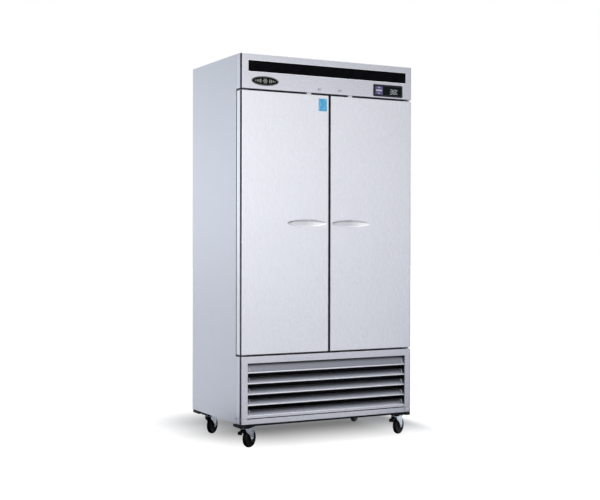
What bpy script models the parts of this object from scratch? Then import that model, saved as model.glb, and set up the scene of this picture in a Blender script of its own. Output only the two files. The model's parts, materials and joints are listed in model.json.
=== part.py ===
"""Two-door reach-in refrigerator with its compressor below the doors, on four swivel casters.

Metres, +Z up. The front faces -Y, and +X is on the viewer's right.
The origin is on the floor, under the middle of the cabinet.
"""

import math

import bmesh
import bpy
from mathutils import Matrix, Vector

# ---- Overall size
WIDTH = 1.040
HEIGHT = 2.090
SIDE = WIDTH / 2
BACK_Y = 0.360
FRONT_Y = -0.3575
PROUD_Y = -0.360
GAP = 0.0003
SHEET = 0.0012
THIN_SHEET = 0.0010
CORNER_RADIUS = 0.012
CORNER_STEPS = 4
DOOR_FREE_RADIUS = 0.004

# ---- Levels, from the floor up
PLATE_BOTTOM = 0.1148
PAD_BOTTOM = 0.118
BASE_BOTTOM = 0.126
BODY_BOTTOM = 0.135
GRILLE_TOP = 0.4945
DOOR_BOTTOM = 0.5035
DOOR_TOP = 1.8965
FASCIA_BOTTOM = 1.9055
ROOM_FLOOR = 0.546
ROOM_CEILING = 1.929
OPENING_TOP = 1.855
FRAME_TOP = ROOM_CEILING + 0.020

# ---- Cabinet
FRAME_FRONT_Y = -0.297
FRAME_BACK_Y = -0.2743
PANEL_FRONT_Y = -0.2965
ROOM_SIDE = 0.466
ROOM_BACK_Y = 0.3047
MULLION_HALF = 0.025

# ---- Doors
DOOR_SIDES = (("left", -1), ("right", 1))
DOOR_DEPTH = 0.052
DOOR_BACK_Y = FRONT_Y + DOOR_DEPTH
CENTRE_GAP = 0.0105
DYKE_BACK_Y = -0.3000
DYKE_SIDE_INSET = 0.058
DYKE_FREE_INSET = 0.028
DYKE_END_INSET = 0.052
GASKET_INSET = 0.014
GASKET_WIDTH = 0.012
GASKET_BACK_Y = -0.2975
HINGE_X = SIDE - 0.018
HINGE_Y = FRONT_Y + 0.023
HINGE_PIN_RADIUS = 0.005
HINGE_HOLE_RADIUS = 0.0054
HINGE_PIN_LENGTH = 0.018
HINGE_PLATE = 0.003

# ---- Recessed door pulls
PULL_HALF_WIDTH = 0.1175
PULL_HALF_HEIGHT = 0.020
PULL_TIP = 0.0015
PULL_DEPTH = 0.026
PULL_WALL = 0.0008
PULL_Z = 1.200
PULL_EDGE_INSET = 0.010
PULL_STEPS = 14
PULL_ROWS = 6

# ---- Fascia fittings
STRIP_TOP = HEIGHT - 0.035
STRIP_BOTTOM = HEIGHT - 0.094
STRIP_HALF = SIDE - 0.042
BADGE_X = -SIDE + 0.138
BADGE_Z = HEIGHT - 0.140
BADGE_HALF_WIDTH = 0.0775
BADGE_HALF_HEIGHT = 0.025
CONTROLLER_X = 0.364
CONTROLLER_Z = HEIGHT - 0.143
CONTROLLER_HALF_WIDTH = 0.0935
CONTROLLER_HALF_HEIGHT = 0.0335
CONTROLLER_CORNER = 0.005
CONTROLLER_BODY_HALF_WIDTH = 0.0860
CONTROLLER_BODY_HALF_HEIGHT = 0.0265
CONTROLLER_BODY_DEPTH = 0.040
LENS_LEFT = -0.028
LENS_RIGHT = 0.083
LENS_HALF_HEIGHT = 0.0240
LENS_SUNK = 0.0008
LENS_BACK = 0.0029
KEY_LEFT = -0.082
KEY_RIGHT = -0.034
KEY_HEIGHT = 0.0142
KEY_PITCH = 0.0158
KEY_SUNK = 0.0004
KEY_BACK = 0.0044
KEY_ROOM = 0.0020
LOCK_X = 0.062
LOCK_Z = HEIGHT - 0.162
LOCK_HEAD_RADIUS = 0.009
LOCK_BARREL_RADIUS = 0.008
LOCK_BARREL_LENGTH = 0.028
KEYWAY_HALF_WIDTH = 0.0012
KEYWAY_HALF_HEIGHT = 0.0042
KEYWAY_DEPTH = 0.005

# ---- Lower grille
LOUVRE_OPENING_SIDE = 0.478
LOUVRE_OPENING_LOW = 0.178
LOUVRE_OPENING_HIGH = 0.458
LOUVRE_COUNT = 5
LOUVRE_FIRST_Z = 0.1795
LOUVRE_PITCH = 0.0572
LOUVRE_LIP = 0.007
LOUVRE_REACH = 0.052
LOUVRE_ANGLE = math.radians(48)
LOUVRE_SETBACK = 0.0036
CHEEK_DEPTH = 0.050

# ---- Cold room
SHELF_LEVELS = (0.770, 1.080, 1.390)
SHELF_THICK = 0.006
SHELF_FRONT_Y = -0.245
SHELF_BACK_Y = 0.285
SHELF_SIDE = 0.455
SHELF_CENTRE = 0.015
SHELF_SLOTS = 9
HOUSING_SIDE = 0.360
HOUSING_FRONT_Y = 0.135
HOUSING_LOW = 1.705
HOUSING_WALL = 0.0020
EVAPORATOR_COIL_LOW = (-0.330, 0.205, 1.730)
EVAPORATOR_COIL_HIGH = (0.330, 0.290, 1.905)
LIGHT_HALF_WIDTH = 0.300
LIGHT_FRONT_Y = -0.240
LIGHT_BACK_Y = -0.205
LIGHT_HEIGHT = 0.022
EVAPORATOR_FAN_X = 0.185
EVAPORATOR_FAN_Z = 1.815
EVAPORATOR_FAN_RADIUS = 0.076
EVAPORATOR_FAN_SETBACK = 0.012

# ---- Machine compartment
FAN_BLADES = 5
CONDENSER_X = -0.120
CONDENSER_Z = 0.300
CONDENSER_HALF_WIDTH = 0.210
CONDENSER_HALF_HEIGHT = 0.140
CONDENSER_FRONT_Y = -0.280
CONDENSER_BACK_Y = -0.225
SHROUD_PLATE = 0.0020
SHROUD_RING_Y = -0.2120
SHROUD_RING_LENGTH = 0.0230
CONDENSER_FAN_RADIUS = 0.096
CONDENSER_FAN_Y = -0.2113
MOTOR_ARM_Y = -0.1980
MOTOR_Y = -0.1750
MOTOR_RADIUS = 0.036
MOTOR_LENGTH = 0.046
COMPRESSOR_X = 0.270
COMPRESSOR_Y = 0.060
COMPRESSOR_LIFT = 0.012
PAN_LOW = (-0.340, 0.060, BODY_BOTTOM)
PAN_HIGH = (0.060, 0.320, 0.205)
PAN_WALL = 0.0015
REAR_GRILLE_TOP = 0.480
REAR_SLOT_COUNT = 9
REAR_SLOT_LEFT = -0.400
REAR_SLOT_RIGHT = 0.240
REAR_SLOT_FIRST_Z = 0.180
REAR_SLOT_PITCH = 0.028
REAR_SLOT_HEIGHT = 0.008
GLAND_X = 0.360
GLAND_Z = 0.220
GLAND_RADIUS = 0.015
GLAND_BORE = 0.006
GLAND_FLANGE = 0.021
GLAND_LENGTH = 0.0280

# ---- Base
TRAY_INSET = 0.025
PAD_WIDTH = 0.033
PAD_LENGTH = 0.100
PAD_CORNER = 0.011
PLATE_HALF = 0.036

# ---- Casters
CASTER_X = 0.460
CASTER_FRONT_Y = -0.284
CASTER_REAR_Y = 0.245
CASTER_FRONT_TURN = math.radians(32)
CASTER_REAR_TURN = math.radians(42)
CASTER_TRAIL = 0.035
WHEEL_RADIUS = 0.050
WHEEL_HALF_WIDTH = 0.0125
AXLE_RADIUS = 0.004
FORK_INNER = 0.0165
FORK_OUTER = 0.0195
CROWN_BOTTOM = 0.1035
CROWN_TOP = 0.1065
PEDAL_REACH = -0.0160
PEDAL_Z = 0.0960
WHEEL_STEPS = 20

FINISHES = {
    "stainless": ((0.62, 0.63, 0.66), 0.34, 1.0),
    "liner": ((0.66, 0.67, 0.68), 0.42, 1.0),
    "foam": ((0.86, 0.80, 0.62), 0.90, 0.0),
    "breaker": ((0.10, 0.10, 0.11), 0.55, 0.0),
    "gasket": ((0.05, 0.05, 0.06), 0.75, 0.0),
    "black_gloss": ((0.012, 0.012, 0.014), 0.12, 0.0),
    "black_satin": ((0.02, 0.02, 0.022), 0.45, 0.0),
    "display": ((0.03, 0.04, 0.05), 0.10, 0.0),
    "key": ((0.36, 0.34, 0.62), 0.40, 0.0),
    "chrome": ((0.80, 0.80, 0.82), 0.15, 1.0),
    "zinc": ((0.62, 0.66, 0.70), 0.30, 1.0),
    "aluminium": ((0.72, 0.73, 0.74), 0.45, 1.0),
    "copper_black": ((0.03, 0.03, 0.03), 0.40, 0.0),
    "white_plastic": ((0.85, 0.86, 0.86), 0.40, 0.0),
    "white_coat": ((0.80, 0.81, 0.80), 0.35, 0.0),
    "wheel": ((0.015, 0.015, 0.016), 0.60, 0.0),
}


# ---- Helpers

def clear_scene():
    for item in list(bpy.data.objects):
        bpy.data.objects.remove(item, do_unlink=True)


def new_collection(name):
    collection = bpy.data.collections.new(name)
    bpy.context.scene.collection.children.link(collection)
    return collection


clear_scene()
PARTS = new_collection("reach_in_refrigerator")
CUTTERS = new_collection("cutters")


def make_material(name, finish):
    color, roughness, metallic = FINISHES[finish]
    material = bpy.data.materials.new(name)
    material.use_nodes = True
    shader = material.node_tree.nodes["Principled BSDF"]
    shader.inputs["Base Color"].default_value = (*color, 1.0)
    shader.inputs["Roughness"].default_value = roughness
    shader.inputs["Metallic"].default_value = metallic
    return material


def mesh_from(name, bm):
    mesh = bpy.data.meshes.new(name)
    bm.to_mesh(mesh)
    bm.free()
    return mesh


def add_part(name, mesh, finish, smooth=False):
    part = bpy.data.objects.new(name, mesh)
    PARTS.objects.link(part)
    mesh.materials.clear()
    mesh.materials.append(make_material(name, finish))
    if smooth:
        mesh.shade_smooth()
        mesh.set_sharp_from_angle(angle=math.radians(35))
    return part


def add_cutter(name, mesh):
    cutter = bpy.data.objects.new(name, mesh)
    CUTTERS.objects.link(cutter)
    cutter.hide_render = True
    cutter.display_type = "WIRE"
    return cutter


def combine(part, tool, operation):
    modifier = part.modifiers.new(operation.title() + " " + tool.name, "BOOLEAN")
    modifier.operation = operation
    modifier.object = tool


def cut(part, name, mesh):
    combine(part, add_cutter(name, mesh), "DIFFERENCE")


def join(part, name, mesh):
    combine(part, add_cutter(name, mesh), "UNION")


def bake(part):
    """Gives the part its evaluated mesh in place of its modifiers."""
    depsgraph = bpy.context.evaluated_depsgraph_get()
    mesh = bpy.data.meshes.new_from_object(part.evaluated_get(depsgraph))
    mesh.name = part.name
    part.modifiers.clear()
    part.data = mesh
    return mesh


def add_box(bm, low, high):
    size = [upper - lower for lower, upper in zip(low, high)]
    middle = [(upper + lower) / 2 for lower, upper in zip(low, high)]
    matrix = Matrix.Translation(middle) @ Matrix.Diagonal((*size, 1.0))
    return bmesh.ops.create_cube(bm, size=1.0, matrix=matrix)["verts"]


def boxes(name, *corners):
    """One mesh of separate boxes, each given by its low and high corners."""
    bm = bmesh.new()
    for low, high in corners:
        add_box(bm, low, high)
    return mesh_from(name, bm)


def add_cylinder(bm, centre, radius, length, axis="Z", steps=24):
    """A capped cylinder along Y or Z."""
    turn = Matrix.Rotation(math.pi / 2, 4, "X") if axis == "Y" else Matrix.Identity(4)
    matrix = Matrix.Translation(centre) @ turn
    bmesh.ops.create_cone(
        bm, cap_ends=True, segments=steps, radius1=radius, radius2=radius, depth=length, matrix=matrix
    )


def cylinders(name, *rods, axis="Z", steps=24):
    """One mesh of separate cylinders, each given by its centre, radius and length."""
    bm = bmesh.new()
    for centre, radius, length in rods:
        add_cylinder(bm, centre, radius, length, axis, steps)
    return mesh_from(name, bm)


def round_front_corners(bm, front_y, radii):
    """Rounds a box's two upright front edges, the left one and then the right one."""
    for pick, radius in zip((min, max), radii):
        uprights = [
            edge
            for edge in bm.edges
            if all(abs(vert.co.y - front_y) < 1e-6 for vert in edge.verts)
            and abs(edge.verts[0].co.z - edge.verts[1].co.z) > 1e-4
        ]
        corner = pick(uprights, key=lambda edge: edge.verts[0].co.x)
        bmesh.ops.bevel(
            bm, geom=[corner], offset=radius, segments=CORNER_STEPS, profile=0.5, affect="EDGES"
        )


def shell_mesh(name, low, high, front_radii=None):
    """A box without its back face, with its upright front edges rounded."""
    bm = bmesh.new()
    add_box(bm, low, high)
    if front_radii:
        round_front_corners(bm, low[1], front_radii)
    backs = [face for face in bm.faces if face.normal.y > 0.9]
    bmesh.ops.delete(bm, geom=backs, context="FACES")
    return mesh_from(name, bm)


def solidify(part, thickness):
    modifier = part.modifiers.new("Sheet", "SOLIDIFY")
    modifier.thickness = thickness
    modifier.offset = -1.0
    modifier.use_even_offset = True


def turned(name, profile, finish, steps=24):
    """A solid turned about Z from a profile of (radius, height) points, top to bottom on its outer side."""
    bm = bmesh.new()
    verts = [bm.verts.new((radius, 0.0, height)) for radius, height in profile]
    pairs = list(zip(verts, verts[1:]))
    if profile[0][0] > 0.0:
        pairs.append((verts[-1], verts[0]))
    for first, second in pairs:
        bm.edges.new((first, second))
    part = add_part(name, mesh_from(name, bm), finish)
    screw = part.modifiers.new("Turn", "SCREW")
    screw.steps = steps
    screw.render_steps = steps
    screw.use_merge_vertices = True
    screw.merge_threshold = 0.00001
    screw.use_smooth_shade = True
    return part


def add_pivot(name, point):
    pivot = bpy.data.objects.new(name, None)
    pivot.empty_display_size = 0.05
    pivot.location = point
    PARTS.objects.link(pivot)
    return pivot


def hang_on(part, pivot):
    """Parents a part whose mesh is in the cabinet's frame to a pivot, leaving it where it is."""
    part.parent = pivot
    part.location = -pivot.location


def set_origin(part, point):
    """Moves the part's origin to a point, with its mesh left where it is."""
    part.data.transform(Matrix.Translation(-Vector(point)))
    part.location = point


# ---- Cabinet

def build_outer_panels():
    for name, side in (("left_side_panel", -1), ("right_side_panel", 1)):
        xs = sorted((side * SIDE, side * (SIDE - SHEET)))
        mesh = boxes(name, ((xs[0], PANEL_FRONT_Y, BODY_BOTTOM), (xs[1], BACK_Y, HEIGHT)))
        add_part(name, mesh, "stainless")
    inner = SIDE - SHEET - GAP
    top = boxes("top_panel", ((-inner, PANEL_FRONT_Y, HEIGHT - SHEET), (inner, BACK_Y, HEIGHT)))
    add_part("top_panel", top, "stainless")
    back_low = (-inner, BACK_Y - SHEET, REAR_GRILLE_TOP + GAP)
    back = boxes("back_panel", (back_low, (inner, BACK_Y, HEIGHT - SHEET - GAP)))
    add_part("back_panel", back, "aluminium")


def build_insulated_body():
    outer = SIDE - SHEET - 2 * GAP
    foam_top = HEIGHT - SHEET - GAP
    foam_low = (-outer, FRAME_BACK_Y + GAP, GRILLE_TOP + 0.001)
    foam_mesh = boxes("insulation_foam", (foam_low, (outer, BACK_Y - SHEET - GAP, foam_top)))
    foam = add_part("insulation_foam", foam_mesh, "foam")
    room_gap = THIN_SHEET + GAP
    room_low = (-ROOM_SIDE - room_gap, -0.4, ROOM_FLOOR - room_gap)
    room_high = (ROOM_SIDE + room_gap, ROOM_BACK_Y + room_gap, ROOM_CEILING + room_gap)
    cut(foam, "foam_room", boxes("foam_room", (room_low, room_high)))

    liner_low = (-ROOM_SIDE - THIN_SHEET, -ROOM_BACK_Y - THIN_SHEET, ROOM_FLOOR - THIN_SHEET)
    liner_high = (ROOM_SIDE + THIN_SHEET, -FRAME_BACK_Y - GAP, ROOM_CEILING + THIN_SHEET)
    mesh = shell_mesh("interior_liner", liner_low, liner_high)
    mesh.transform(Matrix.Rotation(math.pi, 4, "Z"))
    liner = add_part("interior_liner", mesh, "liner")
    solidify(liner, THIN_SHEET)

    frame_low = (-outer, FRAME_FRONT_Y, GRILLE_TOP + 0.001)
    frame_high = (outer, FRAME_BACK_Y, FRAME_TOP)
    frame = add_part("door_frame", boxes("door_frame", (frame_low, frame_high)), "breaker")
    holes = [
        ((-ROOM_SIDE, -0.4, ROOM_FLOOR), (-MULLION_HALF, 0.0, OPENING_TOP)),
        ((MULLION_HALF, -0.4, ROOM_FLOOR), (ROOM_SIDE, 0.0, OPENING_TOP)),
    ]
    cut(frame, "door_frame_openings", boxes("door_frame_openings", *holes))


def build_fascia():
    low = (-SIDE, FRONT_Y, FASCIA_BOTTOM)
    high = (SIDE, FRAME_FRONT_Y - GAP, HEIGHT)
    mesh = shell_mesh("fascia_panel", low, high, (CORNER_RADIUS, CORNER_RADIUS))
    fascia = add_part("fascia_panel", mesh, "stainless")
    solidify(fascia, SHEET)
    front, inside = FRONT_Y - 0.01, FRONT_Y + 0.01
    half_w = CONTROLLER_BODY_HALF_WIDTH + 0.0005
    half_h = CONTROLLER_BODY_HALF_HEIGHT + 0.0005
    slots = [
        ((-STRIP_HALF, front, STRIP_BOTTOM), (STRIP_HALF, inside, STRIP_TOP)),
        (
            (CONTROLLER_X - half_w, front, CONTROLLER_Z - half_h),
            (CONTROLLER_X + half_w, inside, CONTROLLER_Z + half_h),
        ),
    ]
    cut(fascia, "fascia_slots", boxes("fascia_slots", *slots))
    lock_holes = [((side * LOCK_X, FRONT_Y, LOCK_Z), LOCK_BARREL_RADIUS + 0.0004, 0.02) for side in (-1, 1)]
    cut(fascia, "fascia_lock_holes", cylinders("fascia_lock_holes", *lock_holes, axis="Y"))

    strip_low = (-STRIP_HALF + GAP, FRONT_Y + 0.0006, STRIP_BOTTOM + GAP)
    strip_high = (STRIP_HALF - GAP, FRONT_Y + 0.0036, STRIP_TOP - GAP)
    add_part("fascia_strip", boxes("fascia_strip", (strip_low, strip_high)), "black_gloss")

    bm = bmesh.new()
    add_cylinder(bm, (0, 0, 0), 1.0, 1.0, "Y", 40)
    for vert in bm.verts:
        vert.co = (
            BADGE_X + vert.co.x * BADGE_HALF_WIDTH,
            FRONT_Y - GAP - 0.0007 + vert.co.y * 0.0014,
            BADGE_Z + vert.co.z * BADGE_HALF_HEIGHT,
        )
    add_part("badge_plate", mesh_from("badge_plate", bm), "black_gloss", smooth=True)


def build_controller():
    half_w, half_h = CONTROLLER_HALF_WIDTH, CONTROLLER_HALF_HEIGHT
    face_low = (CONTROLLER_X - half_w, PROUD_Y, CONTROLLER_Z - half_h)
    face_high = (CONTROLLER_X + half_w, FRONT_Y - GAP, CONTROLLER_Z + half_h)
    bm = bmesh.new()
    add_box(bm, face_low, face_high)
    corners = [edge for edge in bm.edges if abs(edge.verts[0].co.y - edge.verts[1].co.y) > 1e-4]
    bmesh.ops.bevel(
        bm, geom=corners, offset=CONTROLLER_CORNER, segments=3, profile=0.5, affect="EDGES"
    )
    bezel = add_part("controller_bezel", mesh_from("controller_bezel", bm), "black_satin")
    body_w, body_h = CONTROLLER_BODY_HALF_WIDTH, CONTROLLER_BODY_HALF_HEIGHT
    body = (
        (CONTROLLER_X - body_w, FRONT_Y - 0.001, CONTROLLER_Z - body_h),
        (CONTROLLER_X + body_w, FRONT_Y + CONTROLLER_BODY_DEPTH, CONTROLLER_Z + body_h),
    )
    join(bezel, "controller_body", boxes("controller_body", body))
    pockets = [
        (
            (CONTROLLER_X + LENS_LEFT, PROUD_Y - 0.01, CONTROLLER_Z - LENS_HALF_HEIGHT),
            (CONTROLLER_X + LENS_RIGHT, PROUD_Y + LENS_BACK + GAP, CONTROLLER_Z + LENS_HALF_HEIGHT),
        )
    ]
    keys = []
    for name, step in (("upper_key", 1), ("middle_key", 0), ("lower_key", -1)):
        z = CONTROLLER_Z + step * KEY_PITCH
        key_low = (CONTROLLER_X + KEY_LEFT, PROUD_Y + KEY_SUNK, z - KEY_HEIGHT / 2)
        key_high = (CONTROLLER_X + KEY_RIGHT, PROUD_Y + KEY_BACK, z + KEY_HEIGHT / 2)
        keys.append((name, key_low, key_high))
        hole_low = (key_low[0] - GAP, PROUD_Y - 0.01, key_low[2] - GAP)
        pockets.append((hole_low, (key_high[0] + GAP, key_high[1] + KEY_ROOM, key_high[2] + GAP)))
    cut(bezel, "controller_pockets", boxes("controller_pockets", *pockets))
    lens = (
        (CONTROLLER_X + LENS_LEFT + GAP, PROUD_Y + LENS_SUNK, CONTROLLER_Z - LENS_HALF_HEIGHT + GAP),
        (CONTROLLER_X + LENS_RIGHT - GAP, PROUD_Y + LENS_BACK, CONTROLLER_Z + LENS_HALF_HEIGHT - GAP),
    )
    add_part("controller_display", boxes("controller_display", lens), "display")
    for name, key_low, key_high in keys:
        key = add_part(name, boxes(name, (key_low, key_high)), "key")
        set_origin(key, ((key_low[0] + key_high[0]) / 2, key_low[1], (key_low[2] + key_high[2]) / 2))


def build_locks():
    for name, side in (("left_lock_cylinder", -1), ("right_lock_cylinder", 1)):
        centre = (side * LOCK_X, FRONT_Y, LOCK_Z)
        head_middle = (PROUD_Y + FRONT_Y - GAP) / 2
        head = ((centre[0], head_middle, LOCK_Z), LOCK_HEAD_RADIUS, FRONT_Y - GAP - PROUD_Y)
        lock = add_part(name, cylinders(name, head, axis="Y"), "chrome", smooth=True)
        barrel_y = FRONT_Y - 0.001 + LOCK_BARREL_LENGTH / 2
        barrel = ((centre[0], barrel_y, LOCK_Z), LOCK_BARREL_RADIUS, LOCK_BARREL_LENGTH)
        join(lock, name + "_barrel", cylinders(name + "_barrel", barrel, axis="Y"))
        slot = (
            (centre[0] - KEYWAY_HALF_WIDTH, PROUD_Y - 0.01, LOCK_Z - KEYWAY_HALF_HEIGHT),
            (centre[0] + KEYWAY_HALF_WIDTH, PROUD_Y + KEYWAY_DEPTH, LOCK_Z + KEYWAY_HALF_HEIGHT),
        )
        cut(lock, name + "_keyway", boxes(name + "_keyway", slot))
        bake(lock)
        set_origin(lock, centre)


# ---- Lower grille

def louvre_blades():
    """Sloped blades between the cheeks, each rising inwards from a short upright lip."""
    bm = bmesh.new()
    half = LOUVRE_OPENING_SIDE + 0.0006
    lip_front = FRONT_Y + LOUVRE_SETBACK + 0.0004
    for row in range(LOUVRE_COUNT):
        z = LOUVRE_FIRST_Z + row * LOUVRE_PITCH
        verts = add_box(bm, (-half, 0.0, 0.0), (half, LOUVRE_REACH, SHEET))
        slope = Matrix.Translation((0, lip_front, z + LOUVRE_LIP / 2 - SHEET))
        slope = slope @ Matrix.Rotation(LOUVRE_ANGLE, 4, "X")
        bmesh.ops.transform(bm, matrix=slope, verts=verts)
    return mesh_from("louvre_blades", bm)


def build_grille():
    low = (-SIDE, FRONT_Y, BODY_BOTTOM)
    high = (SIDE, FRAME_FRONT_Y - GAP, GRILLE_TOP)
    mesh = shell_mesh("lower_grille", low, high, (CORNER_RADIUS, CORNER_RADIUS))
    grille = add_part("lower_grille", mesh, "stainless")
    solidify(grille, SHEET)
    opening = (
        (-LOUVRE_OPENING_SIDE, FRONT_Y - 0.02, LOUVRE_OPENING_LOW),
        (LOUVRE_OPENING_SIDE, FRONT_Y + 0.02, LOUVRE_OPENING_HIGH),
    )
    cut(grille, "grille_opening", boxes("grille_opening", opening))
    cheeks = []
    for side in (-1, 1):
        xs = sorted((side * LOUVRE_OPENING_SIDE, side * (LOUVRE_OPENING_SIDE + SHEET)))
        cheek_low = (xs[0], FRONT_Y + 0.0002, LOUVRE_OPENING_LOW - 0.004)
        cheeks.append((cheek_low, (xs[1], FRONT_Y + CHEEK_DEPTH, LOUVRE_OPENING_HIGH + 0.004)))
    join(grille, "grille_cheeks", boxes("grille_cheeks", *cheeks))
    join(grille, "grille_blades", louvre_blades())
    half = LOUVRE_OPENING_SIDE + 0.0009
    lips = []
    for row in range(LOUVRE_COUNT):
        z = LOUVRE_FIRST_Z + row * LOUVRE_PITCH
        lip_low = (-half, FRONT_Y + LOUVRE_SETBACK, z - LOUVRE_LIP / 2)
        lips.append((lip_low, (half, FRONT_Y + LOUVRE_SETBACK + SHEET, z + LOUVRE_LIP / 2)))
    join(grille, "grille_lips", boxes("grille_lips", *lips))


# ---- Base and machine compartment

def caster_points():
    return [
        ("front_left", -CASTER_X, CASTER_FRONT_Y, CASTER_FRONT_TURN),
        ("front_right", CASTER_X, CASTER_FRONT_Y, CASTER_FRONT_TURN),
        ("rear_left", -CASTER_X, CASTER_REAR_Y, CASTER_REAR_TURN),
        ("rear_right", CASTER_X, CASTER_REAR_Y, CASTER_REAR_TURN),
    ]


def corner_pads(top):
    """Pads under the cabinet's corners, each with its outer upright edge rounded."""
    bm = bmesh.new()
    for side in (-1, 1):
        for low_y, high_y, outer_y in (
            (FRONT_Y + 0.0015, FRONT_Y + PAD_LENGTH, FRONT_Y + 0.0015),
            (BACK_Y - PAD_LENGTH, BACK_Y - 0.001, BACK_Y - 0.001),
        ):
            outer_x = side * (SIDE - 0.001)
            xs = sorted((outer_x, side * (SIDE - 0.001 - PAD_WIDTH)))
            verts = add_box(bm, (xs[0], low_y, PAD_BOTTOM), (xs[1], high_y, top - 0.0002))
            corner = [
                vert
                for vert in verts
                if abs(vert.co.x - outer_x) < 1e-6 and abs(vert.co.y - outer_y) < 1e-6
            ]
            edge = bm.edges.get(corner)
            bmesh.ops.bevel(bm, geom=[edge], offset=PAD_CORNER, segments=4, profile=0.5, affect="EDGES")
    return mesh_from("corner_pads", bm)


def build_base():
    top = BODY_BOTTOM - GAP
    tray_low = (-SIDE + TRAY_INSET, FRONT_Y + 0.010, BASE_BOTTOM)
    tray_high = (SIDE - TRAY_INSET, BACK_Y - 0.002, top)
    base = add_part("base_frame", boxes("base_frame", (tray_low, tray_high)), "black_satin")
    bar_side = SIDE - PAD_WIDTH + 0.010
    front_bar = ((-bar_side, FRONT_Y + 0.002, BASE_BOTTOM), (bar_side, FRONT_Y + 0.030, top))
    join(base, "front_bar", boxes("front_bar", front_bar))
    join(base, "corner_pads", corner_pads(top))
    plates = []
    for _, x, y, _ in caster_points():
        plate_low = (x - PLATE_HALF, y - PLATE_HALF, PLATE_BOTTOM)
        plates.append((plate_low, (x + PLATE_HALF, y + PLATE_HALF, BASE_BOTTOM + 0.003)))
    join(base, "caster_plates", boxes("caster_plates", *plates))


def fan(name, centre, radius, hub_radius, hub_length, pitch):
    """A hub along Y with flat pitched blades."""
    hub = cylinders(name, ((0, 0, 0), hub_radius, hub_length), axis="Y", steps=20)
    part = add_part(name, hub, "black_satin", smooth=True)
    bm = bmesh.new()
    inner = hub_radius * 0.75
    for index in range(FAN_BLADES):
        low = (-radius * 0.28, -0.0010, inner)
        verts = add_box(bm, low, (radius * 0.28, 0.0010, radius * 0.94))
        for vert in verts:
            if vert.co.z < inner + 1e-5:
                vert.co.x *= 0.45
        spin = Matrix.Rotation(math.tau * index / FAN_BLADES, 4, "Y")
        bmesh.ops.transform(bm, matrix=spin @ Matrix.Rotation(pitch, 4, "Z"), verts=verts)
    join(part, name + "_blades", mesh_from(name + "_blades", bm))
    bake(part)
    part.location = centre
    return part


def build_condenser():
    x, z = CONDENSER_X, CONDENSER_Z
    half_w, half_h = CONDENSER_HALF_WIDTH, CONDENSER_HALF_HEIGHT
    coil = ((x - half_w, CONDENSER_FRONT_Y, z - half_h), (x + half_w, CONDENSER_BACK_Y, z + half_h))
    add_part("condenser_coil", boxes("condenser_coil", coil), "aluminium")
    plate_y = CONDENSER_BACK_Y + GAP
    plate = ((x - half_w, plate_y, z - half_h), (x + half_w, plate_y + SHROUD_PLATE, z + half_h))
    shroud = add_part("fan_shroud", boxes("fan_shroud", plate), "black_satin")
    ring = ((x, SHROUD_RING_Y, z), CONDENSER_FAN_RADIUS + 0.0065, SHROUD_RING_LENGTH)
    hole = ((x, SHROUD_RING_Y, z), CONDENSER_FAN_RADIUS + 0.004, 0.060)
    join(shroud, "shroud_ring", cylinders("shroud_ring", ring, axis="Y", steps=32))
    cut(shroud, "shroud_hole", cylinders("shroud_hole", hole, axis="Y", steps=32))
    arm_side = half_w - 0.020
    arm_low = (x - arm_side, MOTOR_ARM_Y - 0.0015, z - 0.012)
    arm_high = (x + arm_side, MOTOR_ARM_Y + 0.0015, z + 0.012)
    posts = []
    for post_x in (x - half_w + 0.035, x + half_w - 0.035):
        post_low = (post_x - 0.012, plate_y + 0.0007, z - 0.011)
        posts.append((post_low, (post_x + 0.012, MOTOR_ARM_Y + 0.0010, z + 0.011)))
    join(shroud, "motor_arm", boxes("motor_arm", (arm_low, arm_high)))
    join(shroud, "motor_posts", boxes("motor_posts", *posts))
    motor = ((x, MOTOR_Y, z), MOTOR_RADIUS, MOTOR_LENGTH)
    join(shroud, "motor_can", cylinders("motor_can", motor, axis="Y"))
    fan_centre = (x, CONDENSER_FAN_Y, z)
    fan("condenser_fan", fan_centre, CONDENSER_FAN_RADIUS, 0.026, 0.0180, math.radians(22))


def build_compressor():
    base_z = BODY_BOTTOM + COMPRESSOR_LIFT
    profile = [
        (0.0, base_z + 0.205),
        (0.045, base_z + 0.201),
        (0.072, base_z + 0.186),
        (0.086, base_z + 0.155),
        (0.088, base_z + 0.100),
        (0.086, base_z + 0.045),
        (0.074, base_z + 0.018),
        (0.050, base_z + 0.004),
        (0.0, base_z + 0.004),
    ]
    compressor = turned("compressor", profile, "copper_black")
    compressor.location = (COMPRESSOR_X, COMPRESSOR_Y, 0.0)
    feet = ((-0.090, -0.065, BODY_BOTTOM), (0.090, 0.065, base_z + 0.008))
    mesh = boxes("compressor_feet", feet)
    mesh.transform(Matrix.Translation((COMPRESSOR_X, COMPRESSOR_Y, 0.0)))
    join(compressor, "compressor_feet", mesh)


def open_top_tray(name, low, high, wall, finish):
    bm = bmesh.new()
    add_box(bm, low, high)
    tops = [face for face in bm.faces if face.normal.z > 0.9]
    bmesh.ops.delete(bm, geom=tops, context="FACES")
    tray = add_part(name, mesh_from(name, bm), finish)
    solidify(tray, wall)


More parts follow.
